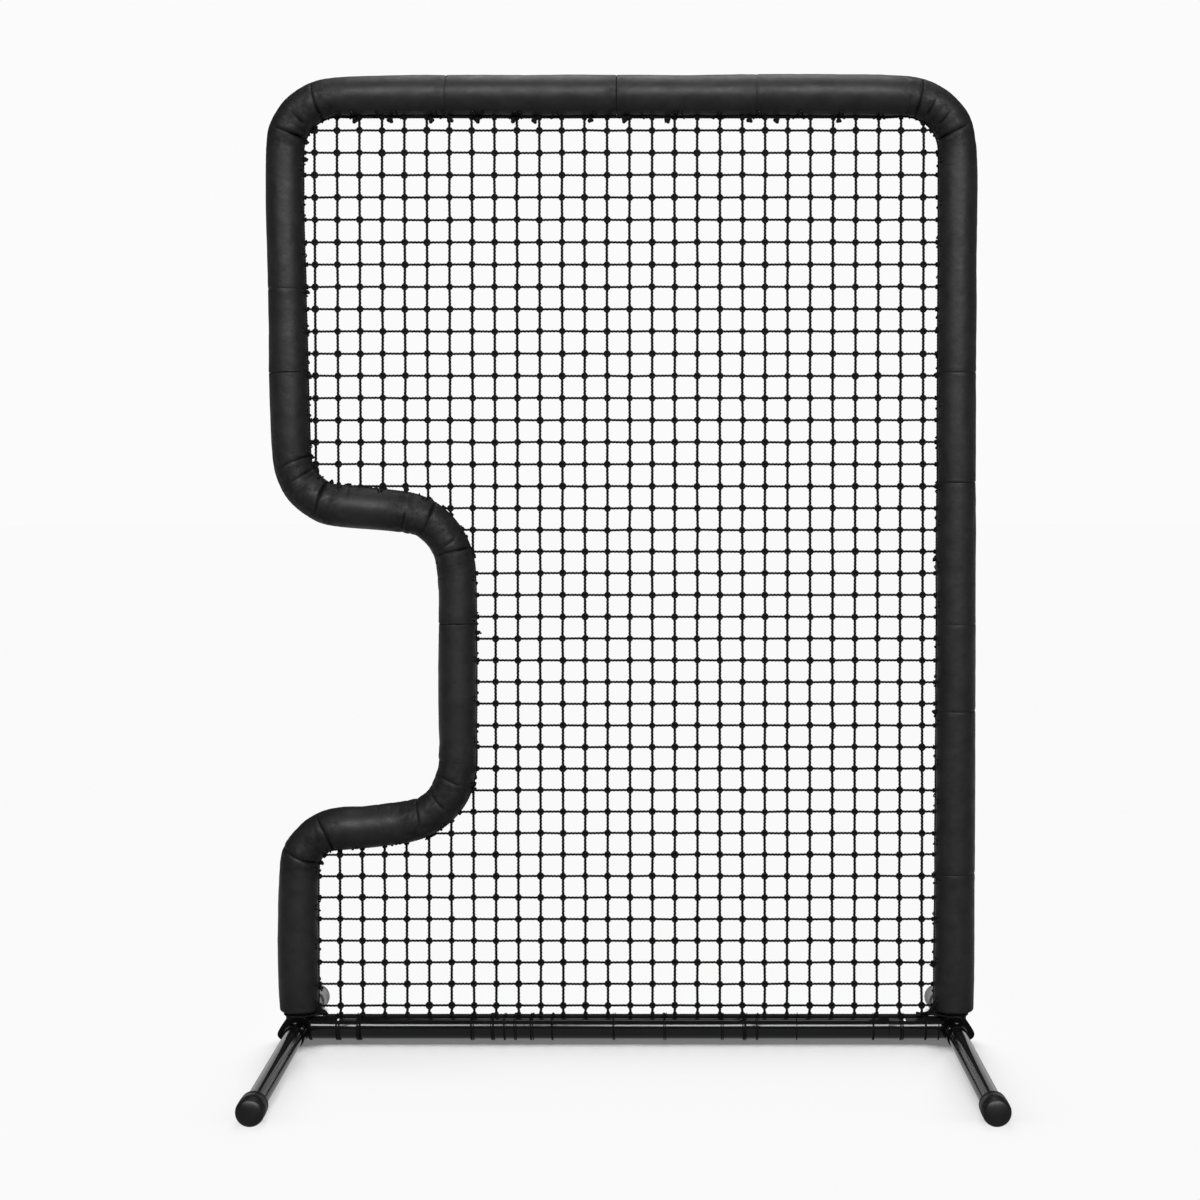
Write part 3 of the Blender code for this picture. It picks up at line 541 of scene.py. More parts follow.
# ---------------------------------------------------------------- the pads
# A crease: distance along the centreline, slant (distance gained from the
# middle of the pad to its net side), the band it crosses (-1 outer side to 1
# net side) and its depth.
LEFT_CREASES = [
    (0.3735, 0.0000, -1.2, 1.2, 0.0010),
    (0.6600, 0.0065, -0.95, 1.2, 0.0038),
    (0.7145, 0.0060, -0.35, 0.80, 0.0026),
    (0.7555, 0.0020, -0.80, 1.2, 0.0040),
    (1.0975, 0.0010, -1.2, 1.2, 0.0009),
    (1.4770, -0.0110, -0.80, 1.2, 0.0024),
    (1.5155, -0.0040, -0.55, 1.0, 0.0018),
    (1.5850, -0.0070, -0.85, 1.2, 0.0038),
    (1.7790, 0.0040, -1.2, 0.10, 0.0028),
    (1.8310, -0.0065, -0.95, 1.2, 0.0030),
    (1.8990, -0.0060, -0.75, 0.60, 0.0026),
    (1.9180, 0.0045, -0.90, 1.2, 0.0030),
    (2.4280, 0.0020, -0.95, 0.60, 0.0028),
    (2.4835, 0.0050, -0.85, 0.50, 0.0030),
    (2.5390, 0.0150, -1.0, 0.50, 0.0032),
    (2.7490, -0.0110, -0.95, 1.2, 0.0040),
    (2.8360, 0.0055, -1.2, 1.2, 0.0040),
]
RIGHT_CREASES = [
    (0.3055, 0.0000, -1.2, 1.2, 0.0010),
    (0.6640, 0.0030, -0.95, 1.2, 0.0038),
    (0.6950, 0.0030, -0.20, 0.90, 0.0024),
    (0.7350, 0.0085, -0.20, 0.85, 0.0026),
    (0.7750, 0.0045, -0.75, 1.2, 0.0040),
    (1.3015, 0.0004, -1.2, 1.2, 0.0011),
    (1.8555, 0.0004, -1.2, 1.2, 0.0008),
    (2.0475, 0.0004, -1.2, 1.2, 0.0012),
    (2.4100, 0.0004, -1.2, 1.2, 0.0010),
]

# columns round the pad: finer on the hem at the net's side
_half = np.concatenate([np.arange(0, 36, 3.0), np.arange(36, 180, 5.143)])
PHI = np.radians(np.concatenate([_half, 360.0 - _half[:0:-1]]))
HEM = math.radians(30)


def minor_creases(path, mains, seed):
    """Short pinches on the inner side of each bend, between the creases."""
    r = np.random.RandomState(seed)
    out = []
    for part in path.parts:
        if part[0] != "arc":
            continue
        inner = part[6] * path.side      # +1: the net's side is the inside
        s = part[1] - 0.012
        while s < part[1] + part[2] + 0.018:
            s += r.uniform(0.020, 0.038)
            if min(abs(s - m[0]) for m in mains) < 0.0120:
                continue
            reach = r.uniform(0.25, 0.70)
            band = (reach, 1.2) if inner > 0 else (-1.2, -reach)
            out.append((s, r.uniform(-0.004, 0.004), band[0], band[1],
                        r.uniform(0.0005, 0.0011)))
    return out


def row_marks(s0, s1, creases, path):
    """Distances of the mesh rows, closer together near creases and ends."""
    marks, s = [s0], s0
    centres = np.array([c[0] for c in creases] + [s0, s1])
    while s < s1 - 0.0004:
        near = np.min(np.abs(centres - s))
        step = 0.00045 + 0.0008 * float(smoothstep(near / 0.004)) + (
            0.0042 * float(smoothstep((near - 0.003) / 0.022)))
        s = min(s + step, s1)
        marks.append(s)
    marks = np.array(marks)
    for c in centres:                       # a row on each crease's own line
        i = int(np.argmin(np.abs(marks - c)))
        if 0 < i < len(marks) - 1:
            marks[i] = c
    return np.unique(np.clip(marks, s0, s1))


SURFACES = []      # (path, s0, s1, rows, grid) for seating things on the pads


def pad(name, path, s0, s1, nodes, creases, seed, low_end=False):
    mains = [c for c in creases if s0 + 0.006 < c[0] < s1 - 0.006]
    minors = [c for c in minor_creases(path, creases, seed + 50)
              if s0 + 0.006 < c[0] < s1 - 0.006]
    every = mains + minors
    rows = row_marks(s0, s1, mains + minors, path)
    rho, front = np.cos(PHI), np.sin(PHI)
    back = front < -1e-9
    r = np.random.RandomState(seed)

    def line_of(c):
        """Offset of a crease from its centre distance, per column."""
        slant_back = c[1] * r.uniform(0.3, 1.2)
        off = c[1] * rho
        return np.where(back, c[1] + slant_back * (rho - 1), off)

    lines = [line_of(c) for c in every]
    warp = np.zeros((len(rows), len(PHI)))
    order = np.sort([c[0] for c in every] + [s0 - 0.02, s1 + 0.02])
    for c, off in zip(every, lines):
        i = int(np.searchsorted(order, c[0]))
        room = 0.9 * min(c[0] - order[i - 1], order[i + 1] - c[0])
        room = min(max(room, 0.004), 0.045)
        w = smoothstep(1 - np.abs(rows - c[0]) / room)
        ends = smoothstep((rows - s0) / 0.012) * smoothstep(
            (s1 - rows) / 0.012)
        warp += (w * ends)[:, None] * off[None, :]
    ss = rows[:, None] + warp
    ss = np.clip(ss, s0, s1)
    c2, t2, curve = path.sample(ss)
    squeeze = np.clip(1 - curve * PAD_R * rho[None, :], 0.35, 1.8)

    # low, broad unevenness of foam under the skin
    turns = PHI[None, :] / (2 * math.pi) + 0 * ss
    h = 0.00040 * lattice(ss / 0.150 + 3, turns * 5, seed, 5)
    h += 0.00045 * lattice(ss / 0.055 + 9, turns * 8, seed + 1, 8)
    h += 0.00022 * lattice(ss / 0.018, turns * 15, seed + 2, 15)
    # finer wrinkles that run round the pad, near bends and joints
    bend = np.zeros(len(rows))
    for part in path.parts:
        if part[0] == "arc":
            bend = np.maximum(bend, smoothstep(
                1.3 - np.abs(rows - part[1] - part[2] / 2)
                / (part[2] / 2 + 0.03)))
    near = np.zeros(len(rows))
    for c in mains:
        near = np.maximum(near, np.exp(-((rows - c[0]) / 0.035) ** 2)
                          * min(1.0, c[4] / 0.0026))
    for e in (s0, s1):
        near = np.maximum(near, 0.7 * np.exp(-((rows - e) / 0.030) ** 2))
    busy = np.maximum(bend, near)[:, None]
    ridges = 1 - np.abs(lattice(ss / 0.0085 + 5, turns * 6 + 0.35 * lattice(
        ss / 0.03, turns * 4, seed + 6, 4), seed + 3, 6))
    h -= 0.00034 * busy * smoothstep((ridges - 0.62) / 0.38)
    h += 0.00036 * busy * lattice(ss / 0.024, turns * 7, seed + 4, 7)
    h += 0.00022 * busy * lattice(ss / 0.012 + 2, turns * 20, seed + 7, 20)
    # drag folds that leave the creases lengthwise
    h += 0.00022 * near[:, None] * lattice(ss / 0.045, turns * 18, seed + 5,
                                           18)
    # painted crease shade: a mask along each crease, wider where a bend pinches
    # it, that darkens the skin's colour
    painted_crease_shade = np.zeros_like(h)
    for k, (c, off) in enumerate(zip(every, lines)):
        d = (ss - (c[0] + off[None, :])) * squeeze
        m = np.ones(len(PHI))
        if c[2] > -1:
            m = m * smoothstep((rho - c[2]) / 0.30)
        if c[3] < 1:
            m = m * smoothstep((c[3] - rho) / 0.30)
        depth = c[4] * m[None, :] * (1 + 0.25 * lattice(
            ss * 0 + k, turns * 6, seed + 20, 6))
        curl = float(np.interp(c[0], rows, bend))
        pinch = curl * (smoothstep((rho - 0.15) / 0.55)
                        * (1 - smoothstep((rho - 0.84) / 0.13)))[None, :]
        depth = depth * (1 + 0.45 * pinch)
        a = np.abs(d)
        painted_crease_shade = np.maximum(painted_crease_shade, m[None, :] * min(1.0, c[4] / 0.0028)
                          * np.exp(-(a / (0.0018 + 0.0022 * pinch)) ** 2))
        h -= depth * (0.86 * np.exp(-a / 0.0011) + 0.26 * np.exp(
            -(a / 0.0048) ** 2))
        h -= depth * 0.62 * pinch * np.exp(-(a / 0.0032) ** 2)
        h += depth * 0.15 * np.exp(-((a - 0.0095) / 0.0075) ** 2)
        side = np.sign(d)
        h += depth * 0.12 * side * np.exp(-a / 0.007)

    # doubled hem along the net's side, drawn in where the lacing holds it
    ang = np.minimum(PHI, 2 * math.pi - PHI)
    hem = smoothstep((HEM - ang) / math.radians(5))
    slit = np.exp(-(ang / math.radians(5.0)) ** 2)
    stitch = np.exp(-((ang - math.radians(26)) / math.radians(2.2)) ** 2)
    pulls = 0.5 + 0.5 * np.cos(2 * math.pi * (ss - 0.0447) / 0.088)
    h += (hem * 0.0006 - stitch * 0.00045)[None, :]
    h -= slit[None, :] * (0.0036 - 0.0032 * hang(ss))
    h -= 0.0006 * hem[None, :] * (1 - pulls)
    # ends
    for e, sign in ((s0, 1), (s1, -1)):
        d = np.abs(ss - e)
        rounded = low_end and sign < 0
        span = 0.0065 if rounded else 0.0030
        amount = 0.0050 if rounded else 0.0016
        x = np.clip(1 - d / span, 0, 1)
        h -= amount * (1 - np.sqrt(np.clip(1 - x * x, 0, 1)))
    mean, shift = reach(path, ss)
    radius = mean + shift * rho[None, :] + h
    n2 = path.inward(t2)
    pts = np.empty((len(rows), len(PHI), 3))
    pts[..., 0] = c2[..., 0] + n2[..., 0] * radius * rho
    pts[..., 2] = c2[..., 1] + n2[..., 1] * radius * rho
    pts[..., 1] = FRAME_Y - radius * front
    SURFACES.append((path, s0, s1, rows, pts))

    # tucked ends and the lining on the tube
    inner = TUBE_R + 0.0004

    def ring(s, rad):
        return path.at(np.full(len(PHI), s), rad, PHI)

    def tuck(e, sign, edge):
        out = []
        mean = np.linalg.norm(edge - path.at(e), axis=1)[:, None]
        unit = (edge - path.at(e)) / mean
        for f, push in ((0.93, 0.0006), (0.86, 0.0016), (0.76, 0.0022),
                        (0.66, 0.0018)):
            _, t, _ = path.sample(np.array(e))
            step = np.array([t[0], 0, t[1]]) * sign * push
            out.append(path.at(e) + unit * np.maximum(mean * f, inner)
                       + step)
        out.append(ring(e + sign * 0.0020, inner))
        return out

    first = tuck(s0, 1, pts[0])
    last = tuck(s1, -1, pts[-1])
    lining_s = [s1 - 0.010, s0 + 0.010]
    for part in path.parts:
        if part[0] == "arc":
            lining_s += list(np.linspace(part[1], part[1] + part[2], 9))
    lining_s = sorted({x for x in lining_s if s0 + 0.005 < x < s1 - 0.005},
                      reverse=True)
    loop = np.concatenate([np.array(first[::-1]), pts, np.array(last),
                           np.array([ring(x, inner) for x in lining_s])])
    buf = Buf()
    buf.grid(loop, close_u=True, flip=path.side > 0)
    ob = buf.make(name, VINYL, slot="pad_vinyl")
    # painted shade for the material: mottled darkening over the bends, near the
    # creases and at the ends, and near-black lines along the creases
    worn_and_shaded = np.zeros((len(loop), len(PHI)), np.float32)
    worn_and_shaded[len(first):len(first) + len(rows)] = np.clip(
        0.75 * bend[:, None] + 0.9 * near[:, None], 0, 1)
    crease_shade = np.zeros_like(worn_and_shaded)
    crease_shade[len(first):len(first) + len(rows)] = np.clip(painted_crease_shade, 0, 1)
    for label, values in (("worn_and_shaded", worn_and_shaded), ("crease_shade", crease_shade)):
        layer = ob.data.attributes.new(label, "FLOAT", "POINT")
        layer.data.foreach_set("value", values.ravel())
    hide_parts(*nodes)
    return ob


G = 0.0002
pad("pad_top_left", LEFT, G, L_JOINT - G,
    ("cover_top_left", "foam_top_left", "foam_bend_top_left",
     "foam_left_upright_high"), LEFT_CREASES, 11)
pad("pad_c_upper", LEFT, L_JOINT + G, C_JOINT - G,
    ("cover_c_upper", "foam_left_upright_low", "foam_bend_upper_arm_outer",
     "foam_upper_arm", "foam_bend_upper_arm_inner", "foam_c_upright_high"),
    LEFT_CREASES, 12)
pad("pad_c_lower", LEFT, C_JOINT + G, LEFT.length - 0.0006,
    ("cover_c_lower", "foam_c_upright_low", "foam_bend_lower_arm_inner",
     "foam_lower_arm", "foam_bend_lower_arm_outer", "foam_left_lower"),
    LEFT_CREASES, 13, low_end=True)
pad("pad_top_right", RIGHT, G, R_JOINT - G,
    ("cover_top_right", "foam_top_right", "foam_bend_top_right",
     "foam_right_upper"), RIGHT_CREASES, 14)
pad("pad_right_lower", RIGHT, R_JOINT + G, RIGHT.length - 0.0006,
    ("cover_right_lower", "foam_right_lower"), RIGHT_CREASES, 15,
    low_end=True)


def seat(path, s, phi):
    """Point on the pad's surface and its outward direction there."""
    for p, s0, s1, rows, pts in SURFACES:
        if p is path and s0 - 1e-6 <= s <= s1 + 1e-6:
            i = int(np.clip(np.searchsorted(rows, s), 1, len(rows) - 2))
            j = int(np.argmin(np.abs(np.angle(np.exp(1j * (PHI - phi))))))
            point = pts[i, j]
            out = path.at(s, 1.0, phi) - path.at(s)
            return point, out
    raise ValueError("no pad at %.3f" % s)


# -------------------------------------------------------------- cord makers
def frames_along(pts):
    """Tangents and a smoothly carried pair of normals."""
    d = np.gradient(pts, axis=0)
    t = d / np.linalg.norm(d, axis=1)[:, None]
    u = np.empty_like(t)
    ref = np.array([0.0, 1.0, 0.0])
    if abs(t[0] @ ref) > 0.9:
        ref = np.array([1.0, 0.0, 0.0])
    u[0] = ref - t[0] * (ref @ t[0])
    u[0] /= np.linalg.norm(u[0])
    for i in range(1, len(t)):
        x = u[i - 1] - t[i] * (u[i - 1] @ t[i])
        n = np.linalg.norm(x)
        u[i] = x / n if n > 1e-9 else u[i - 1]
    return t, u, np.cross(t, u)


def resample(pts, step, closed=False):
    pts = np.asarray(pts, float)
    if closed:
        pts = np.vstack([pts, pts[:1]])
    seg = np.linalg.norm(np.diff(pts, axis=0), axis=1)
    cum = np.concatenate([[0], np.cumsum(seg)])
    n = max(2, int(round(cum[-1] / step)) + 1)
    x = np.linspace(0, cum[-1], n)
    if closed:
        x = x[:-1]
    return np.stack([np.interp(x, cum, pts[:, k]) for k in range(3)], -1)


def spline(pts, step):
    """Catmull-Rom through the points, evenly sampled."""
    p = np.asarray(pts, float)
    p = np.vstack([2 * p[0] - p[1], p, 2 * p[-1] - p[-2]])
    out = []
    for i in range(1, len(p) - 2):
        a, b, c, d = p[i - 1], p[i], p[i + 1], p[i + 2]
        n = max(2, int(np.linalg.norm(c - b) / step * 1.5) + 1)
        t = np.linspace(0, 1, n, endpoint=False)[:, None]
        out.append(0.5 * (2 * b + (c - a) * t
                          + (2 * a - 5 * b + 4 * c - d) * t * t
                          + (3 * b - a - 3 * c + d) * t ** 3))
    out.append(p[-2:-1])
    return resample(np.concatenate(out), step)


def cord(buf, pts, radius, sides=6, lobes=0, pitch=0.02, depth=0.0,
         closed=False, phase=0.0):
    """A round or twisted cord along points; radius may vary per point."""
    t, u, v = frames_along(pts)
    n = len(pts)
    radius = np.broadcast_to(np.asarray(radius, float), (n,))
    seg = np.concatenate([[0], np.cumsum(np.linalg.norm(
        np.diff(pts, axis=0), axis=1))])
    ang = np.linspace(0, 2 * math.pi, sides, endpoint=False)
    spin = 2 * math.pi * seg / pitch + phase if lobes else 0 * seg
    a = ang[None, :] + spin[:, None]
    rr = radius[:, None] * (1 + (depth * np.cos(lobes * ang)[None, :]
                                 if lobes else 0))
    ring = (pts[:, None, :] + rr[..., None]
            * (np.cos(a)[..., None] * u[:, None, :]
               + np.sin(a)[..., None] * v[:, None, :]))
    buf.grid(ring, close_u=closed)
    if not closed:
        buf.fan(ring[0], pts[0] - t[0] * radius[0] * 0.5, flip=False)
        buf.fan(ring[-1], pts[-1] + t[-1] * radius[-1] * 0.5, flip=True)


# ------------------------------------------------------------------ the net
def rope_line():
    """Border rope: beside the pads, then along the top of the rail."""
    s_l = np.arange(0.0, LEFT.length - 0.012, 0.004)
    s_r = np.arange(0.0, RIGHT.length - 0.012, 0.004)
    left = LEFT.at(s_l, rope_offset(LEFT, s_l), 0.0)
    right = RIGHT.at(s_r, rope_offset(RIGHT, s_r), 0.0)
    lx, rx = left[-1, 0], right[-1, 0]
    z = ROPE_RAIL_Z
    turn = []
    for k in range(7):
        a = math.pi / 2 * k / 6
        turn.append((a, 0.014 * (1 - math.cos(a)), 0.014 * math.sin(a)))
    cl = np.array([[lx + dx, FRAME_Y, z + 0.014 - dz] for _, dx, dz in turn])
    cr = np.array([[rx - dx, FRAME_Y, z + 0.014 - dz] for _, dx, dz in turn])
    left = left[left[:, 2] > z + 0.016]
    right = right[right[:, 2] > z + 0.016]
    return np.vstack([left, cl, cr[::-1], right[::-1]])


ROPE_LINE = rope_line()
OUTLINE = ROPE_LINE[:, [0, 2]]


def crossings(axis, value):
    """Where a vertical (axis 0) or level (axis 1) line meets the rope."""
    a, b = OUTLINE, np.roll(OUTLINE, -1, axis=0)
    da, db = a[:, axis] - value, b[:, axis] - value
    hit = (da * db < 0)
    f = da[hit] / (da[hit] - db[hit])
    other = a[hit, 1 - axis] + f * (b[hit, 1 - axis] - a[hit, 1 - axis])
    return np.sort(other)


N_COL, N_ROW = 28, 41
COL_TOP = -0.6723 + 0.04938 * np.arange(N_COL)
COL_LOW = -0.6759 + 0.04970 * np.arange(N_COL)
ROW_Z = 2.0141 - 0.04838 * np.arange(N_ROW)
knot_jit = rng.normal(0, 0.00028, (N_COL, N_ROW, 2))


# the net hangs a little slack: drop of its rows and drift of its columns, mm
SAG = np.array([(0, 0.4), (3, 0.9), (5, 2.3), (8, 3.4), (11, 4.7), (14, 5.4),
                (16.5, 5.9), (18, 5.5), (20, 4.3), (23, 4.0), (26, 3.8),
                (29, 3.2), (32, 2.2), (35, 1.1), (37, 1.4), (40, 1.9)])
DRIFT = np.array([(0, 0.0), (3, -0.3), (5, -0.9), (11, -1.2), (15, -1.3),
                  (18, -0.6), (21, 0.0), (24, 0.8), (27, 1.2)])


def knot_at(i, j):
    """Place of the knot of upright strand i and level strand j."""
    f = (2.0 - ROW_Z[j]) / (2.0 - 0.34)
    x = COL_TOP[i] + (COL_LOW[i] - COL_TOP[i]) * f
    drop = np.interp(j, SAG[:, 0], SAG[:, 1]) / 1000.0
    drift = np.interp(i, DRIFT[:, 0], DRIFT[:, 1]) / 1000.0
    return np.array([x + drift, ROW_Z[j] - drop]) + knot_jit[i, j]


upright_buf, level_buf = Buf(), Buf()
knots_high, knots_low = Buf(), Buf()
hitch_buf = Buf()
TW = 0.00292          # twine radius
inside = np.zeros((N_COL, N_ROW), bool)
for i in range(N_COL):
    for j in range(N_ROW):
        x, z = knot_at(i, j)
        zs = crossings(1, z)
        ok = any(lo + 0.0075 < x < hi - 0.0075
                 for lo, hi in zip(zs[::2], zs[1::2]))
        xs = crossings(0, x)
        ok = ok and any(lo + 0.0075 < z < hi - 0.0075
                        for lo, hi in zip(xs[::2], xs[1::2]))
        inside[i, j] = ok

HITCHES = []


def strand(buf, pts3, seed, radius):
    pts = resample(np.array(pts3), 0.0040)
    wav = np.random.RandomState(seed)
    s = np.linspace(0, 1, len(pts)) * len(pts) * 0.004
    pts = pts.copy()
    pts[:, 1] += 0.0003 * np.sin(s / 0.0485 * math.pi + wav.uniform(0, 6))
    cord(buf, pts, radius, 6, 3, 0.024, 0.12, phase=wav.uniform(0, 6))


def runs_of(flags):
    runs, start = [], None
    for k, f in enumerate(list(flags) + [False]):
        if f and start is None:
            start = k
        if not f and start is not None:
            runs.append((start, k - 1))
            start = None
    return runs


for i in range(N_COL):
    for j0, j1 in runs_of(inside[i]):
        pts = [knot_at(i, j) for j in range(j0, j1 + 1)]
        for end, j in ((0, j0), (-1, j1)):
            p = knot_at(i, j)
            zs = crossings(0, p[0])
            target = (min(zs[zs > p[1]]) if end == 0
                      else max(zs[zs < p[1]]))
            tip = np.array([p[0], target])
            pts = [tip] + pts if end == 0 else pts + [tip]
            HITCHES.append((tip, 0))
        strand(upright_buf, [(x, FRAME_Y - 0.0003, z) for x, z in pts],
               100 + i, TW * 1.10)
for j in range(N_ROW):
    for i0, i1 in runs_of(inside[:, j]):
        pts = [knot_at(i, j) for i in range(i0, i1 + 1)]
        for end, i in ((0, i0), (-1, i1)):
            p = knot_at(i, j)
            xs = crossings(1, p[1])
            below, above = xs[xs < p[0]], xs[xs > p[0]]
            target = max(below) if end == 0 else min(above)
            tip = np.array([target, p[1]])
            pts = [tip] + pts if end == 0 else pts + [tip]
            HITCHES.append((tip, 1))
        strand(level_buf, [(x, FRAME_Y + 0.0003, z) for x, z in pts],
               300 + j, TW * 0.96)


def knot_template(turn):
    """Two locked rounded loops; returns ring points of each."""
    t = np.linspace(0, 2 * math.pi, 10, endpoint=False)
    loops = []
    for k in (0, 1):
        a = turn + k * math.pi / 2
        long, short = 0.0054, 0.0047
        x, z = long * np.cos(t), short * np.sin(t)
        y = 0.0013 * np.cos(2 * t) * (1 if k == 0 else -1)
        ca, sa = math.cos(a), math.sin(a)
        loops.append(np.stack([x * ca - z * sa, y, x * sa + z * ca], -1))
    return loops


def knot_into(buf, x, y, z, turn, size):
    for loop in knot_template(turn):
        pts = loop * size
        pts = pts + np.array([x, y, z])
        n = len(pts)
        t = np.roll(pts, -1, 0) - np.roll(pts, 1, 0)
        t /= np.linalg.norm(t, axis=1)[:, None]
        u = np.tile(np.array([0.0, 1.0, 0.0]), (n, 1))
        u -= t * np.sum(u * t, 1)[:, None]
        u /= np.linalg.norm(u, axis=1)[:, None]
        v = np.cross(t, u)
        ang = np.linspace(0, 2 * math.pi, 5, endpoint=False) + 0.3
        ring = (pts[:, None, :] + 0.0032 * size
                * (np.cos(ang)[None, :, None] * u[:, None, :]
                   + np.sin(ang)[None, :, None] * v[:, None, :]))
        buf.grid(ring, close_u=True)


for i in range(N_COL):
    for j in range(N_ROW):
        if inside[i, j]:
            x, z = knot_at(i, j)
            k = rng.normal(0, 1, 3)
            knot_into(knots_high if j < 20 else knots_low, x, FRAME_Y, z,
                      0.10 * k[0], 1.0 + 0.04 * k[1])

# each strand's end is hitched round the rope
for tip, axis in HITCHES:
    i = int(np.argmin(np.sum((OUTLINE - tip) ** 2, axis=1)))
    a, b = OUTLINE[i - 1], OUTLINE[(i + 1) % len(OUTLINE)]
    d = (b - a) / np.linalg.norm(b - a)
    along = np.array([d[0], 0, d[1]])
    radial = np.array([-d[1], 0, d[0]])
    on_rail = tip[1] < ROPE_RAIL_Z + 0.003
    r = ROPE_R + TW * 0.75
    base = np.array([tip[0], FRAME_Y, tip[1]])
    if on_rail:                  # over the rope, down to the rail and back
        for k in (-1, 1):
            a = np.linspace(-1.75, 1.75, 11)
            pts = (base + np.outer(np.cos(a) * r, [0, 0, 1])
                   + np.outer(np.sin(a) * r, [0, 1, 0])
                   + np.outer(k * 0.0022 + 0.0006 * a, [1, 0, 0]))
            cord(hitch_buf, pts, TW * 0.8, 5)
        continue
    turns = np.linspace(0, 2 * math.pi * 2.0, 21)
    pts = (base + np.outer(np.cos(turns) * r, radial)
           + np.outer(np.sin(turns) * r, [0, 1, 0])
           + np.outer((turns / (4 * math.pi) - 0.5) * 0.0062, along))
    cord(hitch_buf, pts, TW * 0.9, 5)

net_uprights = upright_buf.make("net_upright_strands", TWINE,
                                slot="net_twine")
net_levels = level_buf.make("net_level_strands", TWINE, slot="net_twine")
kh = knots_high.make("net_knots_upper", TWINE, slot="net_twine")
kl = knots_low.make("net_knots_lower", TWINE, slot="net_twine")
hitches = hitch_buf.make("net_edge_hitches", TWINE, slot="net_twine")
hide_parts("net_panel")
for piece in (net_levels, kh, kl, hitches):
    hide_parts("net_panel")

rope_buf = Buf()
way = resample(ROPE_LINE, 0.0033, closed=True)
high = smoothstep((way[:, 2] - (TOP_Z - 0.060)) / 0.008)
cord(rope_buf, way, ROPE_R + 0.0010 * high, 9, 3, 0.020, 0.14, closed=True)
rope = rope_buf.make("border_rope", ROPE, slot="net_rope")
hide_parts("net_border_rope")


# ------------------------------------------- grommets, lacing, its knots
LACE_R = 0.0015
GROMMET_PHI = math.radians(27)
LEFT_ENDS = (0.0, L_JOINT, C_JOINT, LEFT.length)
RIGHT_ENDS = (0.0, R_JOINT, RIGHT.length)


def grommet_places(first, ends):
    out, s = [], first
    while s < ends[-1] - 0.016:
        q = s
        for e in ends:
            if abs(q - e) < 0.011:
                q = e + math.copysign(0.011, q - e)
        out.append(q)
        s += 0.088
    return out


LEFT_G = grommet_places(0.0447, LEFT_ENDS)
RIGHT_G = grommet_places(0.0476, RIGHT_ENDS)

grommet_buf = Buf()
for path, places in ((LEFT, LEFT_G), (RIGHT, RIGHT_G)):
    for s in places:
        point, out = seat(path, s, GROMMET_PHI)
        _, t, _ = path.sample(np.array(s))
        along = np.array([t[0], 0.0, t[1]])
        across = np.cross(out, along)
        profile = [(0.0019, -0.0012), (0.0020, 0.0001), (0.0023, 0.0006),
                   (0.0027, 0.0008), (0.0031, 0.0006), (0.0034, 0.0001),
                   (0.0034, -0.0012)]
        a = np.linspace(0, 2 * math.pi, 20, endpoint=False)
        rings = [point + out * (h + 0.0002) + r * (
            np.cos(a)[:, None] * along + np.sin(a)[:, None] * across)
            for r, h in profile]
        grommet_buf.grid(np.array(rings), close_u=True)
grommets = grommet_buf.make("lacing_grommets", NICKEL, slot="zinc_hardware")


def beside(path, s, n, y):
    """A point n beyond the rope's own line toward the net and y behind."""
    p, t, _ = path.sample(np.array(float(s)))
    d = path.inward(t)
    n = n + float(rope_offset(path, np.array(float(s))))
    return np.array([p[0] + d[0] * n, FRAME_Y + y, p[1] + d[1] * n])


def lace(buf, path, places):
    way = []
    e = ROPE_R + LACE_R + 0.0002
    jig = np.random.RandomState(len(places))
    for k, s in enumerate(places):
        point, out = seat(path, s, GROMMET_PHI)
        w = jig.uniform(-0.002, 0.002, 4)
        if k:
            way += [beside(path, s - 0.016 + w[0], 0.0, e),
                    beside(path, s - 0.011 + w[1], e, 0.0003),
                    beside(path, s - 0.007 + w[1], -0.0008, -e),
                    point + out * 0.0026
                    + (path.at(s - 0.0035) - path.at(s))]
        way += [point - out * 0.0012]
        if k < len(places) - 1:
            way += [point + out * 0.0026
                    + (path.at(s + 0.0035) - path.at(s)),
                    beside(path, s + 0.007 + w[2], -0.0008, -e),
                    beside(path, s + 0.011 + w[2], e, 0.0003),
                    beside(path, s + 0.016 + w[3], 0.0, e)]
            gap = places[k + 1] - s
            way += [beside(path, s + gap * 0.38, -0.0004,
                           e + 0.0004),
                    beside(path, s + gap * 0.62, -0.0004,
                           e + 0.0004)]
    pts = spline(way, 0.0016)
    cord(buf, pts, LACE_R, 6, 3, 0.012, 0.12)


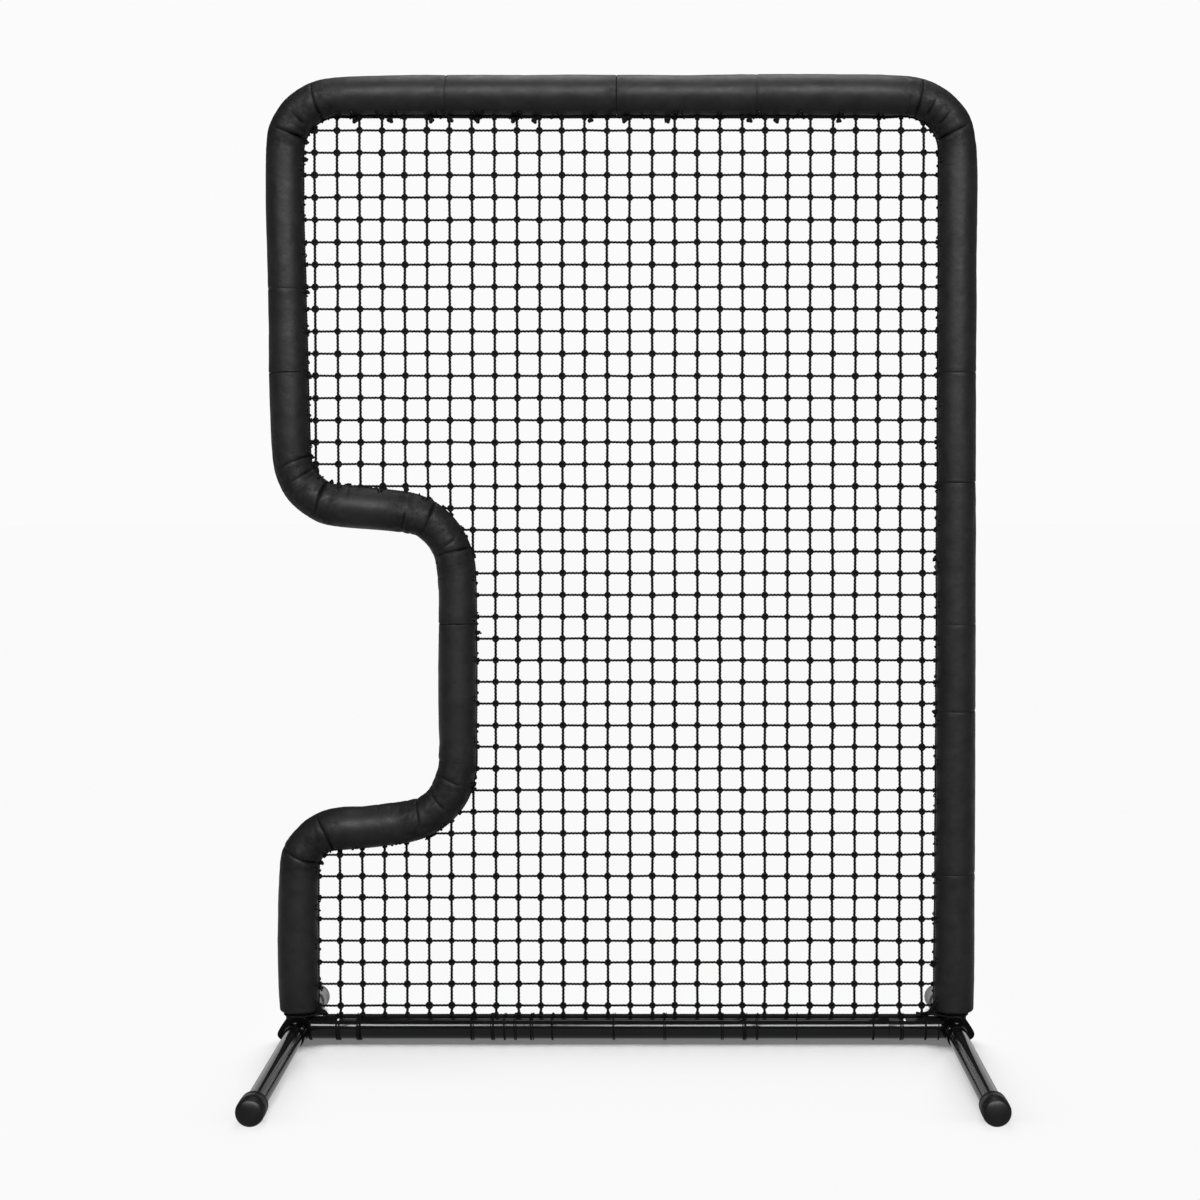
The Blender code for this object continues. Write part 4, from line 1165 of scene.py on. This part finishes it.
def trefoil(centre, facing, size, radius, buf, turn=0.0):
    t = np.linspace(0, 2 * math.pi, 30, endpoint=False)
    x = np.sin(t) + 2 * np.sin(2 * t)
    z = np.cos(t) - 2 * np.cos(2 * t)
    y = -1.15 * np.sin(3 * t)
    ca, sa = math.cos(turn), math.sin(turn)
    x, z = x * ca - z * sa, x * sa + z * ca
    u = np.cross(facing, [0.0, 0.0, 1.0])
    if np.linalg.norm(u) < 0.1:
        u = np.array([1.0, 0.0, 0.0])
    u /= np.linalg.norm(u)
    v = np.cross(u, facing)
    pts = centre + size * (x[:, None] * u + z[:, None] * v
                           + y[:, None] * np.asarray(facing))
    tg, p, q = (np.roll(pts, -1, 0) - np.roll(pts, 1, 0), None, None)
    tg /= np.linalg.norm(tg, axis=1)[:, None]
    ref = pts - centre
    p = ref - tg * np.sum(ref * tg, 1)[:, None]
    p /= np.linalg.norm(p, axis=1)[:, None]
    q = np.cross(tg, p)
    a = np.linspace(0, 2 * math.pi, 6, endpoint=False)
    ring = pts[:, None, :] + radius * (
        np.cos(a)[None, :, None] * p[:, None, :]
        + np.sin(a)[None, :, None] * q[:, None, :])
    buf.grid(ring, close_u=True)


def tail(buf, start, direction, length, seed, radius=0.0014):
    r = np.random.RandomState(seed)
    d = np.asarray(direction, float)
    d = d / np.linalg.norm(d)
    pts = [np.asarray(start, float)]
    for k in range(4):
        d = d + r.normal(0, 0.25, 3) * np.array([1, 0.4, 1])
        d /= np.linalg.norm(d)
        pts.append(pts[-1] + d * length / 4)
    pts = spline(pts, 0.0018)
    rad = np.full(len(pts), radius)
    rad[-2:] *= (1.15, 0.9)
    cord(buf, pts, rad, 6, 3, 0.010, 0.14)


lace_l, lace_r = Buf(), Buf()
lace(lace_l, LEFT, LEFT_G)
lace(lace_r, RIGHT, RIGHT_G)

LEFT_KNOTS = (0.5725, 0.495, 0.4055, 0.3635, 0.3045, 0.2255, 0.1795, 0.057,
              0.765, 0.815, 1.105, 1.2895, 1.4685, 1.5175, 1.5915, 1.7165,
              1.772, 2.0995, 2.429, 2.545, 2.8395, 3.134)
RIGHT_KNOTS = (0.0175, 0.112, 0.2915, 0.3505, 0.4865, 0.700, 1.3055, 1.552, 1.713,
               2.0505, 2.4145, 2.6165)
for path, places, buf in ((LEFT, LEFT_KNOTS, lace_l),
                          (RIGHT, RIGHT_KNOTS, lace_r)):
    for k, s in enumerate(places):
        r = np.random.RandomState(int(s * 1000))
        low = float(hang(s))
        centre = beside(path, s, ROPE_R + 0.0012
                        + r.uniform(0, 0.0022) + 0.0030 * low, -0.0035)
        big = 1.0 + 0.42 * low
        trefoil(centre, np.array([0, -1.0, 0]), 0.00125 * big * r.uniform(
            0.9, 1.15), 0.0020 + 0.0004 * low, buf, r.uniform(0, 2))
        _, t, _ = path.sample(np.array(s))
        d = path.inward(t)
        for m in range(k % 2):
            lean = np.array([d[0] * 0.3 + r.uniform(-0.9, 0.9), -0.15,
                             d[1] * 0.3 - r.uniform(0.0, 0.4)])
            tail(buf, centre + lean * 0.002, lean,
                 r.uniform(0.0045, 0.0065), int(s * 5000) + m, 0.0019)
# stopper knots on the pad where the lacing comes out of its grommets
LEFT_STOPS = (0.600, 0.5206, 0.3772, 0.2912, 0.2052, 0.0419, 0.0120)
RIGHT_STOPS = (0.1257, 0.3088, 0.3971, 0.4875)
for path, places, buf in ((LEFT, LEFT_STOPS, lace_l),
                          (RIGHT, RIGHT_STOPS, lace_r)):
    for s in places:
        r = np.random.RandomState(int(s * 9000))
        point, out = seat(path, s, GROMMET_PHI)
        trefoil(point + out * 0.0016, out, 0.00092 * r.uniform(0.9, 1.2),
                0.0017, buf, r.uniform(0, 2))
        edge = beside(path, s + r.uniform(-0.003, 0.003), 0.001,
                      -ROPE_R - 0.001)
        cord(buf, spline([point + out * 0.0020,
                          0.5 * (point + out * 0.0030 + edge)
                          + np.array([0.0, -0.0012, 0.0]), edge], 0.0018),
             0.0015, 6, 3, 0.010, 0.12)
lace_left = lace_l.make("lacing_cord_left", ROPE, slot="net_rope")
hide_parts("lacing_left")
lace_right = lace_r.make("lacing_cord_right", ROPE, slot="net_rope")
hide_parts("lacing_right")

# ------------------------------------------------ lashing round the rail
lash_buf = Buf()


def lash_radius(theta, r):
    """Reach of a cord of radius r drawn round the rail and the rope."""
    r1, r2 = TUBE_R + r + 0.0002, ROPE_R + r + 0.0002
    d = ROPE_RAIL_Z - LEG_Z
    alpha = math.acos((r1 - r2) / d)
    th = np.abs(np.angle(np.exp(1j * theta)))
    line = np.where(th < alpha, r1 / np.cos(np.minimum(alpha - th, 1.4)),
                    r1)
    root = r2 * r2 - (d * np.sin(th)) ** 2
    crown = np.where(root > 0, d * np.cos(th) + np.sqrt(np.abs(root)), 1.0)
    return np.where(th < alpha, np.minimum(line, crown), r1)


def lashing(x0, turns, pitch, seed, r=0.0012, knot=True):
    g = np.random.RandomState(seed)
    n = int(turns * 44)
    th = np.linspace(0.25, 0.25 + 2 * math.pi * turns, n)
    f = np.linspace(-0.5, 0.5, n)
    x = x0 + f * turns * pitch + 0.0006 * np.sin(th * 0.5 + g.uniform(0, 6))
    rad = lash_radius(th, r)
    pts = np.stack([x, FRAME_Y - rad * np.sin(th), LEG_Z + rad * np.cos(th)],
                   -1)
    cord(lash_buf, pts, r, 6, 3, 0.011, 0.14)
    if knot:
        k = np.array([x0 + g.uniform(-0.003, 0.003), FRAME_Y - 0.006,
                      ROPE_RAIL_Z + 0.0022])
        trefoil(k, np.array([0, -0.9, 0.43]), 0.0011, 0.0016, lash_buf,
                g.uniform(0, 2))
        tail(lash_buf, k, (g.uniform(-1, 1), -0.5, g.uniform(-0.2, 0.4)),
             g.uniform(0.006, 0.009), seed * 7, 0.0017)


for k, (x0, turns, knot) in enumerate((
        (-0.6917, 2, False), (-0.6297, 4, False), (-0.5837, 4, False),
        (-0.3320, 3, True), (-0.2860, 3, True), (-0.2600, 2, False),
        (-0.2360, 2, True), (-0.2000, 3, True), (-0.1540, 2, True),
        (-0.0173, 2, False), (0.0964, 2, True), (0.2240, 2, True),
        (0.2739, 3, True), (0.3015, 2, False), (0.3900, 1, False),
        (0.5600, 2, False), (0.6227, 3, False), (0.6762, 2, False),
        (0.7050, 1, False))):
    lashing(x0, turns, 0.0030, 40 + k, knot=knot)

# the thick ends that tie the pads' lower corners down to the rail
ends = [
    [(-0.6790, 0.1545, 0.0940), (-0.6762, 0.1530, 0.0840),
     (-0.6740, 0.1535, 0.0740), (-0.6700, 0.1560, 0.0670),
     (-0.6640, 0.1600, 0.0650), (-0.6590, 0.1640, 0.0640),
     (-0.6550, 0.1680, 0.0600)],
    [(0.6995, 0.1550, 0.0960), (0.6965, 0.1530, 0.0860),
     (0.6930, 0.1540, 0.0770), (0.6865, 0.1570, 0.0700),
     (0.6770, 0.1610, 0.0650), (0.6670, 0.1650, 0.0620),
     (0.6590, 0.1680, 0.0600)],
]
for px, inward in ((LEFT_X, 1.0), (RIGHT_X, -1.0)):   # round the collar
    way = []
    for k in range(21):
        a = math.radians(400 - 17 * k)
        r = COLLAR_R + 0.0024
        way.append((px + inward * r * math.cos(a), FRAME_Y - r * math.sin(a),
                    0.0636 - 0.0046 * k / 20))
    way += [(px + inward * 0.0290, 0.1545, 0.0594),
            (px + inward * 0.0420, 0.1610, 0.0600),
            (px + inward * 0.0540, 0.1660, 0.0606),
            (px + inward * 0.0640, 0.1700, 0.0606)]
    ends.append(way)
for w in ends:
    pts = spline(w, 0.0016)
    cord(lash_buf, pts, 0.0023, 8, 3, 0.014, 0.14)
trefoil(np.array([0.6590, 0.1600, 0.0612]), np.array([0, -1.0, 0.0]),
        0.0015, 0.0022, lash_buf, 0.4)
trefoil(np.array([-0.6606, 0.1590, 0.0664]), np.array([0, -1.0, 0.0]),
        0.0014, 0.0021, lash_buf, 0.9)
for px, inward in ((LEFT_X, 1.0), (RIGHT_X, -1.0)):   # webbing by the pad
    face = spline([(0.0385, 0, 0.0920), (0.0440, 0, 0.0900),
                   (0.0500, 0, 0.0790), (0.0575, 0, 0.0680),
                   (0.0620, 0, 0.0610), (0.0560, 0, 0.0585),
                   (0.0460, 0, 0.0575), (0.0330, 0, 0.0580),
                   (0.0300, 0, 0.0640), (0.0360, 0, 0.0720),
                   (0.0375, 0, 0.0820), (0.0384, 0, 0.0915)], 0.0022)
    mid = np.array([0.0450, 0, 0.0670])
    rings = []
    for inset, lift in ((0.0006, 0.0), (0.0, 0.0004), (0.0, 0.0012),
                        (0.0006, 0.0016)):
        ring = mid + (face - mid) * (1 - inset / np.linalg.norm(
            face - mid, axis=1))[:, None]
        ring = ring[::-1] if inward < 0 else ring
        bow = 0.0035 * np.sin((ring[:, 2] - 0.058) / 0.034 * math.pi)
        rings.append(np.stack([px + inward * ring[:, 0],
                               0.1625 + lift - bow, ring[:, 2]], -1))
    lash_buf.grid(np.array(rings))
    for ring, y, flip in ((rings[0], 0.1592, False),
                          (rings[-1], 0.1608, True)):
        lash_buf.fan(ring, np.array([[px + inward * mid[0], y, mid[2]]]),
                     flip=flip)
lash = lash_buf.make("rail_lashing_cord", ROPE, slot="net_rope")
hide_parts("rail_lashing")

# ------------------------------------------------------------- steel work
def turned(buf, origin, axis, profile, segs=64, closed=True, start=0.0):
    """A turned shape: profile (radius, distance along the axis)."""
    o, w = np.array(origin, float), np.array(axis, float)
    w /= np.linalg.norm(w)
    ref = np.array([0, 0, 1.0]) if abs(w[2]) < 0.9 else np.array([1.0, 0, 0])
    u = np.cross(w, ref)
    u /= np.linalg.norm(u)
    v = np.cross(w, u)
    a = np.linspace(0, 2 * math.pi, segs, endpoint=False) + start
    rings = np.array([o + w * h + r * (np.cos(a)[:, None] * u
                                       + np.sin(a)[:, None] * v)
                      for r, h in profile])
    buf.grid(rings, close_u=closed, flip=False)
    return u, v


def tube_profile(r, inner, h0, h1, edge=0.0008):
    """Closed section of a tube wall with rounded lips."""
    pts = []
    for k in range(4):
        a = math.pi / 2 * k / 3
        pts.append((r - edge + edge * math.sin(a), h0 + edge
                    - edge * math.cos(a)))
    steps = max(2, int((h1 - h0) / 0.05))
    for k in range(1, steps):
        pts.append((r, h0 + (h1 - h0) * k / steps))
    for k in range(4):
        a = math.pi / 2 * k / 3
        pts.append((r - edge + edge * math.cos(a), h1 - edge
                    + edge * math.sin(a)))
    pts.append((inner, h1))
    pts.append((inner, h0))
    return pts[::-1]


def bead(buf, pts, r=0.0024, seed=0):
    """A weld bead with its row of overlapping ripples."""
    pts = spline(pts, 0.0007)
    s = np.arange(len(pts)) * 0.0007
    g = np.random.RandomState(seed)
    saw = (s / 0.0024 + 0.08 * np.cumsum(g.normal(0, 0.3, len(s)))) % 1.0
    rad = r * (0.86 + 0.20 * np.sqrt(np.clip(1 - (2 * saw - 1) ** 2, 0, 1)))
    cord(buf, pts, rad, 8)


for side, px in CORNERS.items():
    inward = 1.0 if side == "left" else -1.0
    buf = Buf()
    turned(buf, (px, 0, LEG_Z), (0, 1, 0),
           tube_profile(SLEEVE_R, 0.0214, SLEEVE_Y[0], SLEEVE_Y[1], 0.0007))
    turned(buf, (px, FRAME_Y, 0), (0, 0, 1),
           tube_profile(COLLAR_R, 0.0245, COLLAR_Z[0], COLLAR_Z[1], 0.0010))
    turned(buf, (px, FRAME_Y, 0), (0, 0, 1),
           tube_profile(0.0224, 0.0200, 0.045, 0.200, 0.0008), 48)
    stub = Buf()
    turned(stub, (px, FRAME_Y, LEG_Z), (inward, 0, 0),
           tube_profile(TUBE_R, 0.0232, 0.018, abs(STUB_END[side] - px),
                        0.0008))
    ob = stub.make("corner_stub_" + side, STEEL, slot="frame_steel",
                   sharp=50)
    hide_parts("corner_socket_" + side)
    a_, b_, c_ = COLLAR_R, SLEEVE_R, TUBE_R
    for face in (-1, 1):                       # collar to sleeve
        way = []
        for th in np.radians(np.linspace(-68, 68, 19)):
            x = b_ * math.sin(th)
            way.append((px + x, FRAME_Y + face * (math.sqrt(
                a_ * a_ - x * x) + 0.0004), LEG_Z + b_ * math.cos(th)
                + 0.0004))
        bead(buf, way, 0.0023, 3 + face)
    way = []                                   # rail stub to collar, sleeve
    for ph in np.radians(np.linspace(-158, 158, 45)):
        y, z = c_ * math.sin(ph), c_ * math.cos(ph)
        if z > 0.0085:
            x = math.sqrt(max(a_ * a_ - y * y, 0))
        else:
            x = math.sqrt(max(b_ * b_ - z * z, 0)) if abs(z) < b_ else 0
            x = max(x, 0.004)
        g = 1 + 0.0005 / c_
        way.append((px + inward * x, FRAME_Y + y * g, LEG_Z + z * g))
    bead(buf, way, 0.0022, 9)
    # the plate welded across the sleeve and the collar, reaching outward
    edge = spline([(-0.0258, 0, 0.0540), (-0.0318, 0, 0.0450),
                   (-0.0385, 0, 0.0345), (-0.0434, 0, 0.0245),
                   (-0.0430, 0, 0.0165), (-0.0370, 0, 0.0100),
                   (-0.0250, 0, 0.0062), (-0.0100, 0, 0.0040),
                   (0.0060, 0, 0.0046), (0.0190, 0, 0.0100),
                   (0.0262, 0, 0.0220), (0.0268, 0, 0.0360),
                   (0.0230, 0, 0.0490), (0.0150, 0, 0.0590),
                   (-0.0050, 0, 0.0606), (-0.0240, 0, 0.0556)], 0.0030)
    hub = np.array([-0.0060, 0, 0.0300])
    rings = []
    for inset, y in ((0.0011, 0.1402), (0.0003, 0.1405), (0.0, 0.1412),
                     (0.0, 0.1430), (0.0003, 0.1437), (0.0011, 0.1440)):
        ring = hub + (edge - hub) * (1 - inset / np.linalg.norm(
            edge - hub, axis=1))[:, None]
        ring = ring[::-1] if inward < 0 else ring
        rings.append(np.stack([px + inward * ring[:, 0], 0 * ring[:, 0] + y,
                               ring[:, 2]], -1))
    buf.grid(np.array(rings))
    for ring, y, flip in ((rings[0], 0.1402, False), (rings[-1], 0.1440, True)):
        buf.fan(ring, np.array([[px + inward * hub[0], y, hub[2]]]),
                flip=flip)
    # the fitting takes the darker coat, painted shade for its shadowed corner
    ob = buf.make("corner_fitting_" + side, SHADED_COAT, slot="frame_steel",
                  sharp=50)
    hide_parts("corner_socket_" + side)

    # rubber-capped leg
    buf = Buf()
    turned(buf, (px, 0, LEG_Z), (0, 1, 0),
           tube_profile(LEG_R, LEG_R - 0.002, -0.4497, 0.4497, 0.0006))
    ob = buf.make("leg_tube_" + side, STEEL, slot="frame_steel", sharp=50)
    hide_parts("leg_" + side)

for side, x0, x1 in (("left", -0.5855, RAIL_JOINT_X - 0.00015),
                     ("right", RAIL_JOINT_X + 0.00015, 0.5935)):
    buf = Buf()
    turned(buf, (0, FRAME_Y, LEG_Z), (1, 0, 0),
           tube_profile(TUBE_R, 0.0232, x0, x1, 0.0007))
    ob = buf.make("rail_tube_" + side, STEEL, slot="frame_steel", sharp=50)
    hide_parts("rail_" + side)


def cap_profile():
    r, n = CAP_R, CAP_LEN
    pts = [(0.0, n), (0.0050, n - 0.00015), (0.0100, n - 0.0006),
           (0.0150, n - 0.0014), (0.0190, n - 0.0024),
           (0.0220, n - 0.0035), (0.0243, n - 0.0047),
           (0.0261, n - 0.0061), (0.0273, n - 0.0077), (0.0281, n - 0.0095),
           (0.0285, n - 0.0112),
           (0.0281, n - 0.0117), (0.0281, n - 0.0124),
           (r, n - 0.0130), (r, 0.0205), (0.0285, 0.0195), (0.0280, 0.0185),
           (0.0280, 0.0165), (0.0284, 0.0155), (0.0284, 0.0135),
           (0.0279, 0.0125), (0.0279, 0.0105), (0.0283, 0.0095),
           (0.0282, 0.0040), (0.0272, 0.0012), (0.0256, 0.0002),
           (0.0240, 0.0), (0.0214, 0.0003), (0.0213, 0.0030),
           (0.0213, 0.030)]
    return pts


for side, px in CORNERS.items():
    for end, sgn in (("front", -1.0), ("rear", 1.0)):
        buf = Buf()
        more = 0.011 if end == "front" else 0.0
        prof = [(r, h + more if h > 0.0205 else h) for r, h in cap_profile()]
        o = np.array([px, sgn * (LEG_HALF - CAP_LEN - more), LEG_Z])
        a = np.linspace(0, 2 * math.pi, 72, endpoint=False)
        rings = []
        for r, h in prof[1:]:
            ring = np.stack([o[0] + r * np.cos(a),
                             np.full(72, o[1] + sgn * h),
                             o[2] + r * np.sin(a)], -1)
            ring[:, 2] = np.maximum(ring[:, 2], 0.0)
            rings.append(ring)
        rings = np.array(rings)
        buf.grid(rings, flip=sgn < 0)
        tip = o + np.array([0, sgn * prof[0][1], 0])
        buf.fan(rings[0], tip[None, :], flip=sgn < 0)
        ob = buf.make("foot_%s_%s" % (side, end),
                      RUBBER if end == "front" else GREY_RUBBER,
                      slot="foot_rubber", sharp=60)
        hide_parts("foot_cap_%s_%s" % (side, end))


def snap_button(name, base, axis, top, body, mat):
    buf = Buf()
    r, top = BUTTON_R + 0.00012, top + 0.00012
    prof = [(0.0, top), (r * 0.30, top - 0.00006), (r * 0.58, top - 0.0003),
            (r * 0.80, top - 0.0008), (r * 0.93, top - 0.0015),
            (r, top - 0.0025), (r, top - 0.0065), (r * 0.98, top - 0.0088),
            (0.0006, top - 0.0092)]
    o, w = np.array(base, float), np.array(axis, float)
    w /= np.linalg.norm(w)
    ref = np.array([0, 1.0, 0]) if abs(w[1]) < 0.7 else np.array([1.0, 0, 0])
    u = np.cross(w, ref)
    u /= np.linalg.norm(u)
    v = np.cross(w, u)
    a = np.linspace(0, 2 * math.pi, 32, endpoint=False)
    rings = np.array([o + w * h + q * (np.cos(a)[:, None] * u
                                       + np.sin(a)[:, None] * v)
                      for q, h in prof[1:]])
    buf.grid(rings)
    buf.fan(rings[0], (o + w * prof[0][1])[None, :], flip=False)
    ob = buf.make(name + "_head", mat, body=body, slot="zinc_hardware",
                  sharp=40)
    return ob


for side, px in CORNERS.items():
    inward = 1.0 if side == "left" else -1.0
    s45 = math.sqrt(0.5)
    snap_button("leg_button_" + side, (px, LEG_BUTTON_Y, LEG_Z),
                (inward * s45, 0, s45), 0.0272, "leg_button_" + side,
                DULL_ZINC)
    a36 = math.radians(36)
    snap_button("rail_button_" + side, (RAIL_BUTTON_X[side], FRAME_Y, LEG_Z),
                (0, -math.sin(a36), math.cos(a36)), 0.0284,
                "rail_button_" + side, ZINC)
    buf = Buf()                         # locking screw with a round hole in its head
    o = np.array([px, SCREW_Y, LEG_Z])
    turned(buf, o, (0, 0, 1), [(0.0018, 0.0270), (0.0018, 0.02775),
                               (0.0030, 0.02775), (0.0046, 0.0274),
                               (0.0054, 0.0266), (0.0055, 0.0256),
                               (0.0055, 0.0245), (0.0018, 0.0245)], 32)
    ob = buf.make("locking_screw_" + side, DULL_ZINC, slot="zinc_hardware",
                  sharp=40)
    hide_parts("leg_lock_screw_" + side)

# -------------------------------------------------------- stage and camera
def stage_object(name, mesh):
    ob = bpy.data.objects.new(name, mesh)
    bpy.context.scene.collection.objects.link(ob)
    return ob


def floor():
    n = 96
    rings = [0.0, 1.0, 2.0, 4.0, 8.0, 30.0]
    buf_v, faces = [(0, 0, 0)], []
    for r in rings[1:]:
        for k in range(n):
            a = 2 * math.pi * k / n
            buf_v.append((r * math.cos(a), r * math.sin(a), 0))
    for k in range(n):
        faces.append((0, 1 + k, 1 + (k + 1) % n))
    for i in range(len(rings) - 2):
        o = 1 + i * n
        for k in range(n):
            k2 = (k + 1) % n
            faces.append((o + k, o + n + k, o + n + k2, o + k2))
    me = bpy.data.meshes.new("floor")
    me.from_pydata(buf_v, [], faces)
    ob = stage_object("floor", me)
    mat, nt, p = nodes_of("studio_floor")
    p.inputs["Base Color"].default_value = (0.80, 0.80, 0.80, 1)
    p.inputs["Roughness"].default_value = 0.6
    p.inputs["Specular IOR Level"].default_value = 0.1
    glow = nt.nodes.new("ShaderNodeEmission")
    glow.inputs["Color"].default_value = (0.955, 0.955, 0.955, 1)
    mix = nt.nodes.new("ShaderNodeMixShader")
    # the floor is lit close to the rail and legs and fades to plain white
    coord = nt.nodes.new("ShaderNodeTexCoord")
    sep = nt.nodes.new("ShaderNodeSeparateXYZ")
    link(nt, coord, "Object", sep, "Vector")

    def calc(op, first, second=None, clamp=False):
        n = nt.nodes.new("ShaderNodeMath")
        n.operation, n.use_clamp = op, clamp
        for k, v in enumerate((first, second)):
            if v is None:
                continue
            if isinstance(v, float):
                n.inputs[k].default_value = v
            else:
                nt.links.new(v, n.inputs[k])
        return n.outputs[0]

    x, y = sep.outputs["X"], sep.outputs["Y"]
    before = calc("MAXIMUM", calc("SUBTRACT", 0.123, y), 0.0)
    behind = calc("MAXIMUM", calc("SUBTRACT", y, 0.21), 0.0)
    beyond = calc("MAXIMUM", calc("SUBTRACT", calc("ABSOLUTE", calc(
        "SUBTRACT", x, 0.0096)), 0.74), 0.0)
    rail = calc("MULTIPLY", calc("ADD", calc("ADD", before, behind),
                                 calc("MULTIPLY", beyond, 2.5)), -10.0)
    legs = calc("ABSOLUTE", calc("SUBTRACT", calc("ABSOLUTE", calc(
        "SUBTRACT", x, 0.0096)), 0.7281))
    legs = calc("MAXIMUM", calc("SUBTRACT", legs, 0.025), 0.0)
    past = calc("MAXIMUM", calc("SUBTRACT", calc("ABSOLUTE", calc(
        "SUBTRACT", y, 0.04)), 0.44), 0.0)
    legs = calc("MULTIPLY", calc("ADD", legs, past), -28.0)
    fade = calc("SUBTRACT", 1.0, calc(
        "MAXIMUM", calc("MULTIPLY", 0.84, calc("EXPONENT", rail)),
        calc("MULTIPLY", 0.46, calc("EXPONENT", legs))))
    link(nt, fade.node, 0, mix, "Fac")
    link(nt, p, "BSDF", mix, 1)
    link(nt, glow, "Emission", mix, 2)
    # its light on the object is weaker, as if flagged off close to it
    bounce = nt.nodes.new("ShaderNodeEmission")
    # ... and a little stronger behind, for the back of the pads
    depth = nt.nodes.new("ShaderNodeMapRange")
    depth.interpolation_type = "SMOOTHSTEP"
    depth.inputs["From Min"].default_value = 0.3
    depth.inputs["From Max"].default_value = 1.2
    depth.inputs["To Min"].default_value = 0.45
    depth.inputs["To Max"].default_value = 0.78
    nt.links.new(y, depth.inputs["Value"])
    bounce.inputs["Color"].default_value = (1, 1, 1, 1)
    link(nt, depth, "Result", bounce, "Strength")
    path = nt.nodes.new("ShaderNodeLightPath")
    shown = nt.nodes.new("ShaderNodeMixShader")
    link(nt, path, "Is Camera Ray", shown, "Fac")
    link(nt, bounce, "Emission", shown, 1)
    link(nt, mix, "Shader", shown, 2)
    out = nt.nodes["Material Output"]
    nt.links.new(shown.outputs["Shader"], out.inputs["Surface"])
    me.materials.append(mat)
    return ob


FLOOR = floor()


def world():
    w = bpy.data.worlds.new("studio")
    bpy.context.scene.world = w
    w.use_nodes = True
    nt = w.node_tree
    nt.nodes.clear()
    out = nt.nodes.new("ShaderNodeOutputWorld")
    seen = nt.nodes.new("ShaderNodeBackground")
    seen.inputs["Color"].default_value = (0.965, 0.965, 0.965, 1)
    fill = nt.nodes.new("ShaderNodeBackground")
    fill.inputs["Color"].default_value = (1, 1, 1, 1)
    fill.inputs["Strength"].default_value = 1.0
    coord = nt.nodes.new("ShaderNodeTexCoord")
    sep = nt.nodes.new("ShaderNodeSeparateXYZ")
    link(nt, coord, "Generated", sep, "Vector")
    back = nt.nodes.new("ShaderNodeMapRange")
    back.interpolation_type = "SMOOTHSTEP"
    back.inputs["From Min"].default_value = 0.05
    back.inputs["From Max"].default_value = 0.75
    link(nt, sep, "Y", back, "Value")
    low = nt.nodes.new("ShaderNodeMapRange")
    low.interpolation_type = "SMOOTHSTEP"
    low.inputs["From Min"].default_value = 0.55
    low.inputs["From Max"].default_value = 0.05
    link(nt, sep, "Z", low, "Value")
    both = nt.nodes.new("ShaderNodeMath")
    both.operation = "MULTIPLY"
    link(nt, back, "Result", both, 0)
    link(nt, low, "Result", both, 1)
    shade = ramp(nt, both, "Value", [(0.0, grey(0.05)), (1.0, grey(0.30))])
    link(nt, shade, "Color", fill, "Color")
    path = nt.nodes.new("ShaderNodeLightPath")
    mix = nt.nodes.new("ShaderNodeMixShader")
    link(nt, path, "Is Camera Ray", mix, "Fac")
    link(nt, fill, "Background", mix, 1)
    link(nt, seen, "Background", mix, 2)
    link(nt, mix, "Shader", out, "Surface")


world()


def area(name, loc, target, size, power, size_y=None):
    data = bpy.data.lights.new(name, "AREA")
    data.shape = "RECTANGLE"
    data.size = size
    data.size_y = size_y or size
    data.energy = power
    ob = bpy.data.objects.new(name, data)
    bpy.context.scene.collection.objects.link(ob)
    ob.location = loc
    d = Vector(target) - Vector(loc)
    ob.rotation_euler = d.to_track_quat("-Z", "Y").to_euler()
    return ob


overhead = area("overhead", (0.15, 0.7, 4.1), (0.05, 0.1, 1.0), 2.2, 66, 2.2)
front_left = area("front_left", (-2.95, -7.5, 5.8), (0, 0.17, 1.1), 4.3,
                  715, 2.4)
front_right = area("front_right", (2.4, -7.8, 5.35), (0, 0.17, 1.1), 5.7,
                   1030, 2.4)
floor_box = area("floor_box", (0.1, 4.2, 6.9), (0, 0.1, 0), 3.8, 960, 3.8)
# the boxes for the object are flagged off the floor, which has its own
unlit = bpy.data.collections.new("flagged_off")
unlit.objects.link(FLOOR)
unlit.collection_objects[0].light_linking.link_state = "EXCLUDE"
for lamp in (overhead, front_left, front_right):
    lamp.light_linking.receiver_collection = unlit
lit = bpy.data.collections.new("floor_only")
lit.objects.link(FLOOR)
floor_box.light_linking.receiver_collection = lit

# a pale card behind draws the long reflections on the legs and their caps
legs = bpy.data.collections.new("legs_only")
for side in ("left", "right"):
    legs.objects.link(bpy.data.objects["leg_tube_" + side])
    legs.objects.link(bpy.data.objects["foot_" + side + "_front"])
card = area("back_card", (0.0, 6.0, 1.15), (0.0, 0.0, 1.0), 9.0, 38, 2.3)
card.light_linking.receiver_collection = legs
card.visible_camera = False

cam_data = bpy.data.cameras.new("camera")
cam = bpy.data.objects.new("camera", cam_data)
bpy.context.scene.collection.objects.link(cam)
cam.location = (0.0518, -4.659, 1.342)
cam.rotation_euler = (math.radians(90 - 2.5), 0, 0)
cam_data.sensor_width = 36.0
cam_data.lens = 65.73
cam_data.shift_x = -0.0375
cam_data.shift_y = -0.0558
cam_data.clip_start, cam_data.clip_end = 0.05, 100
bpy.context.scene.camera = cam
bpy.context.scene.view_settings.view_transform = "Standard"
bpy.context.scene.view_settings.look = "None"
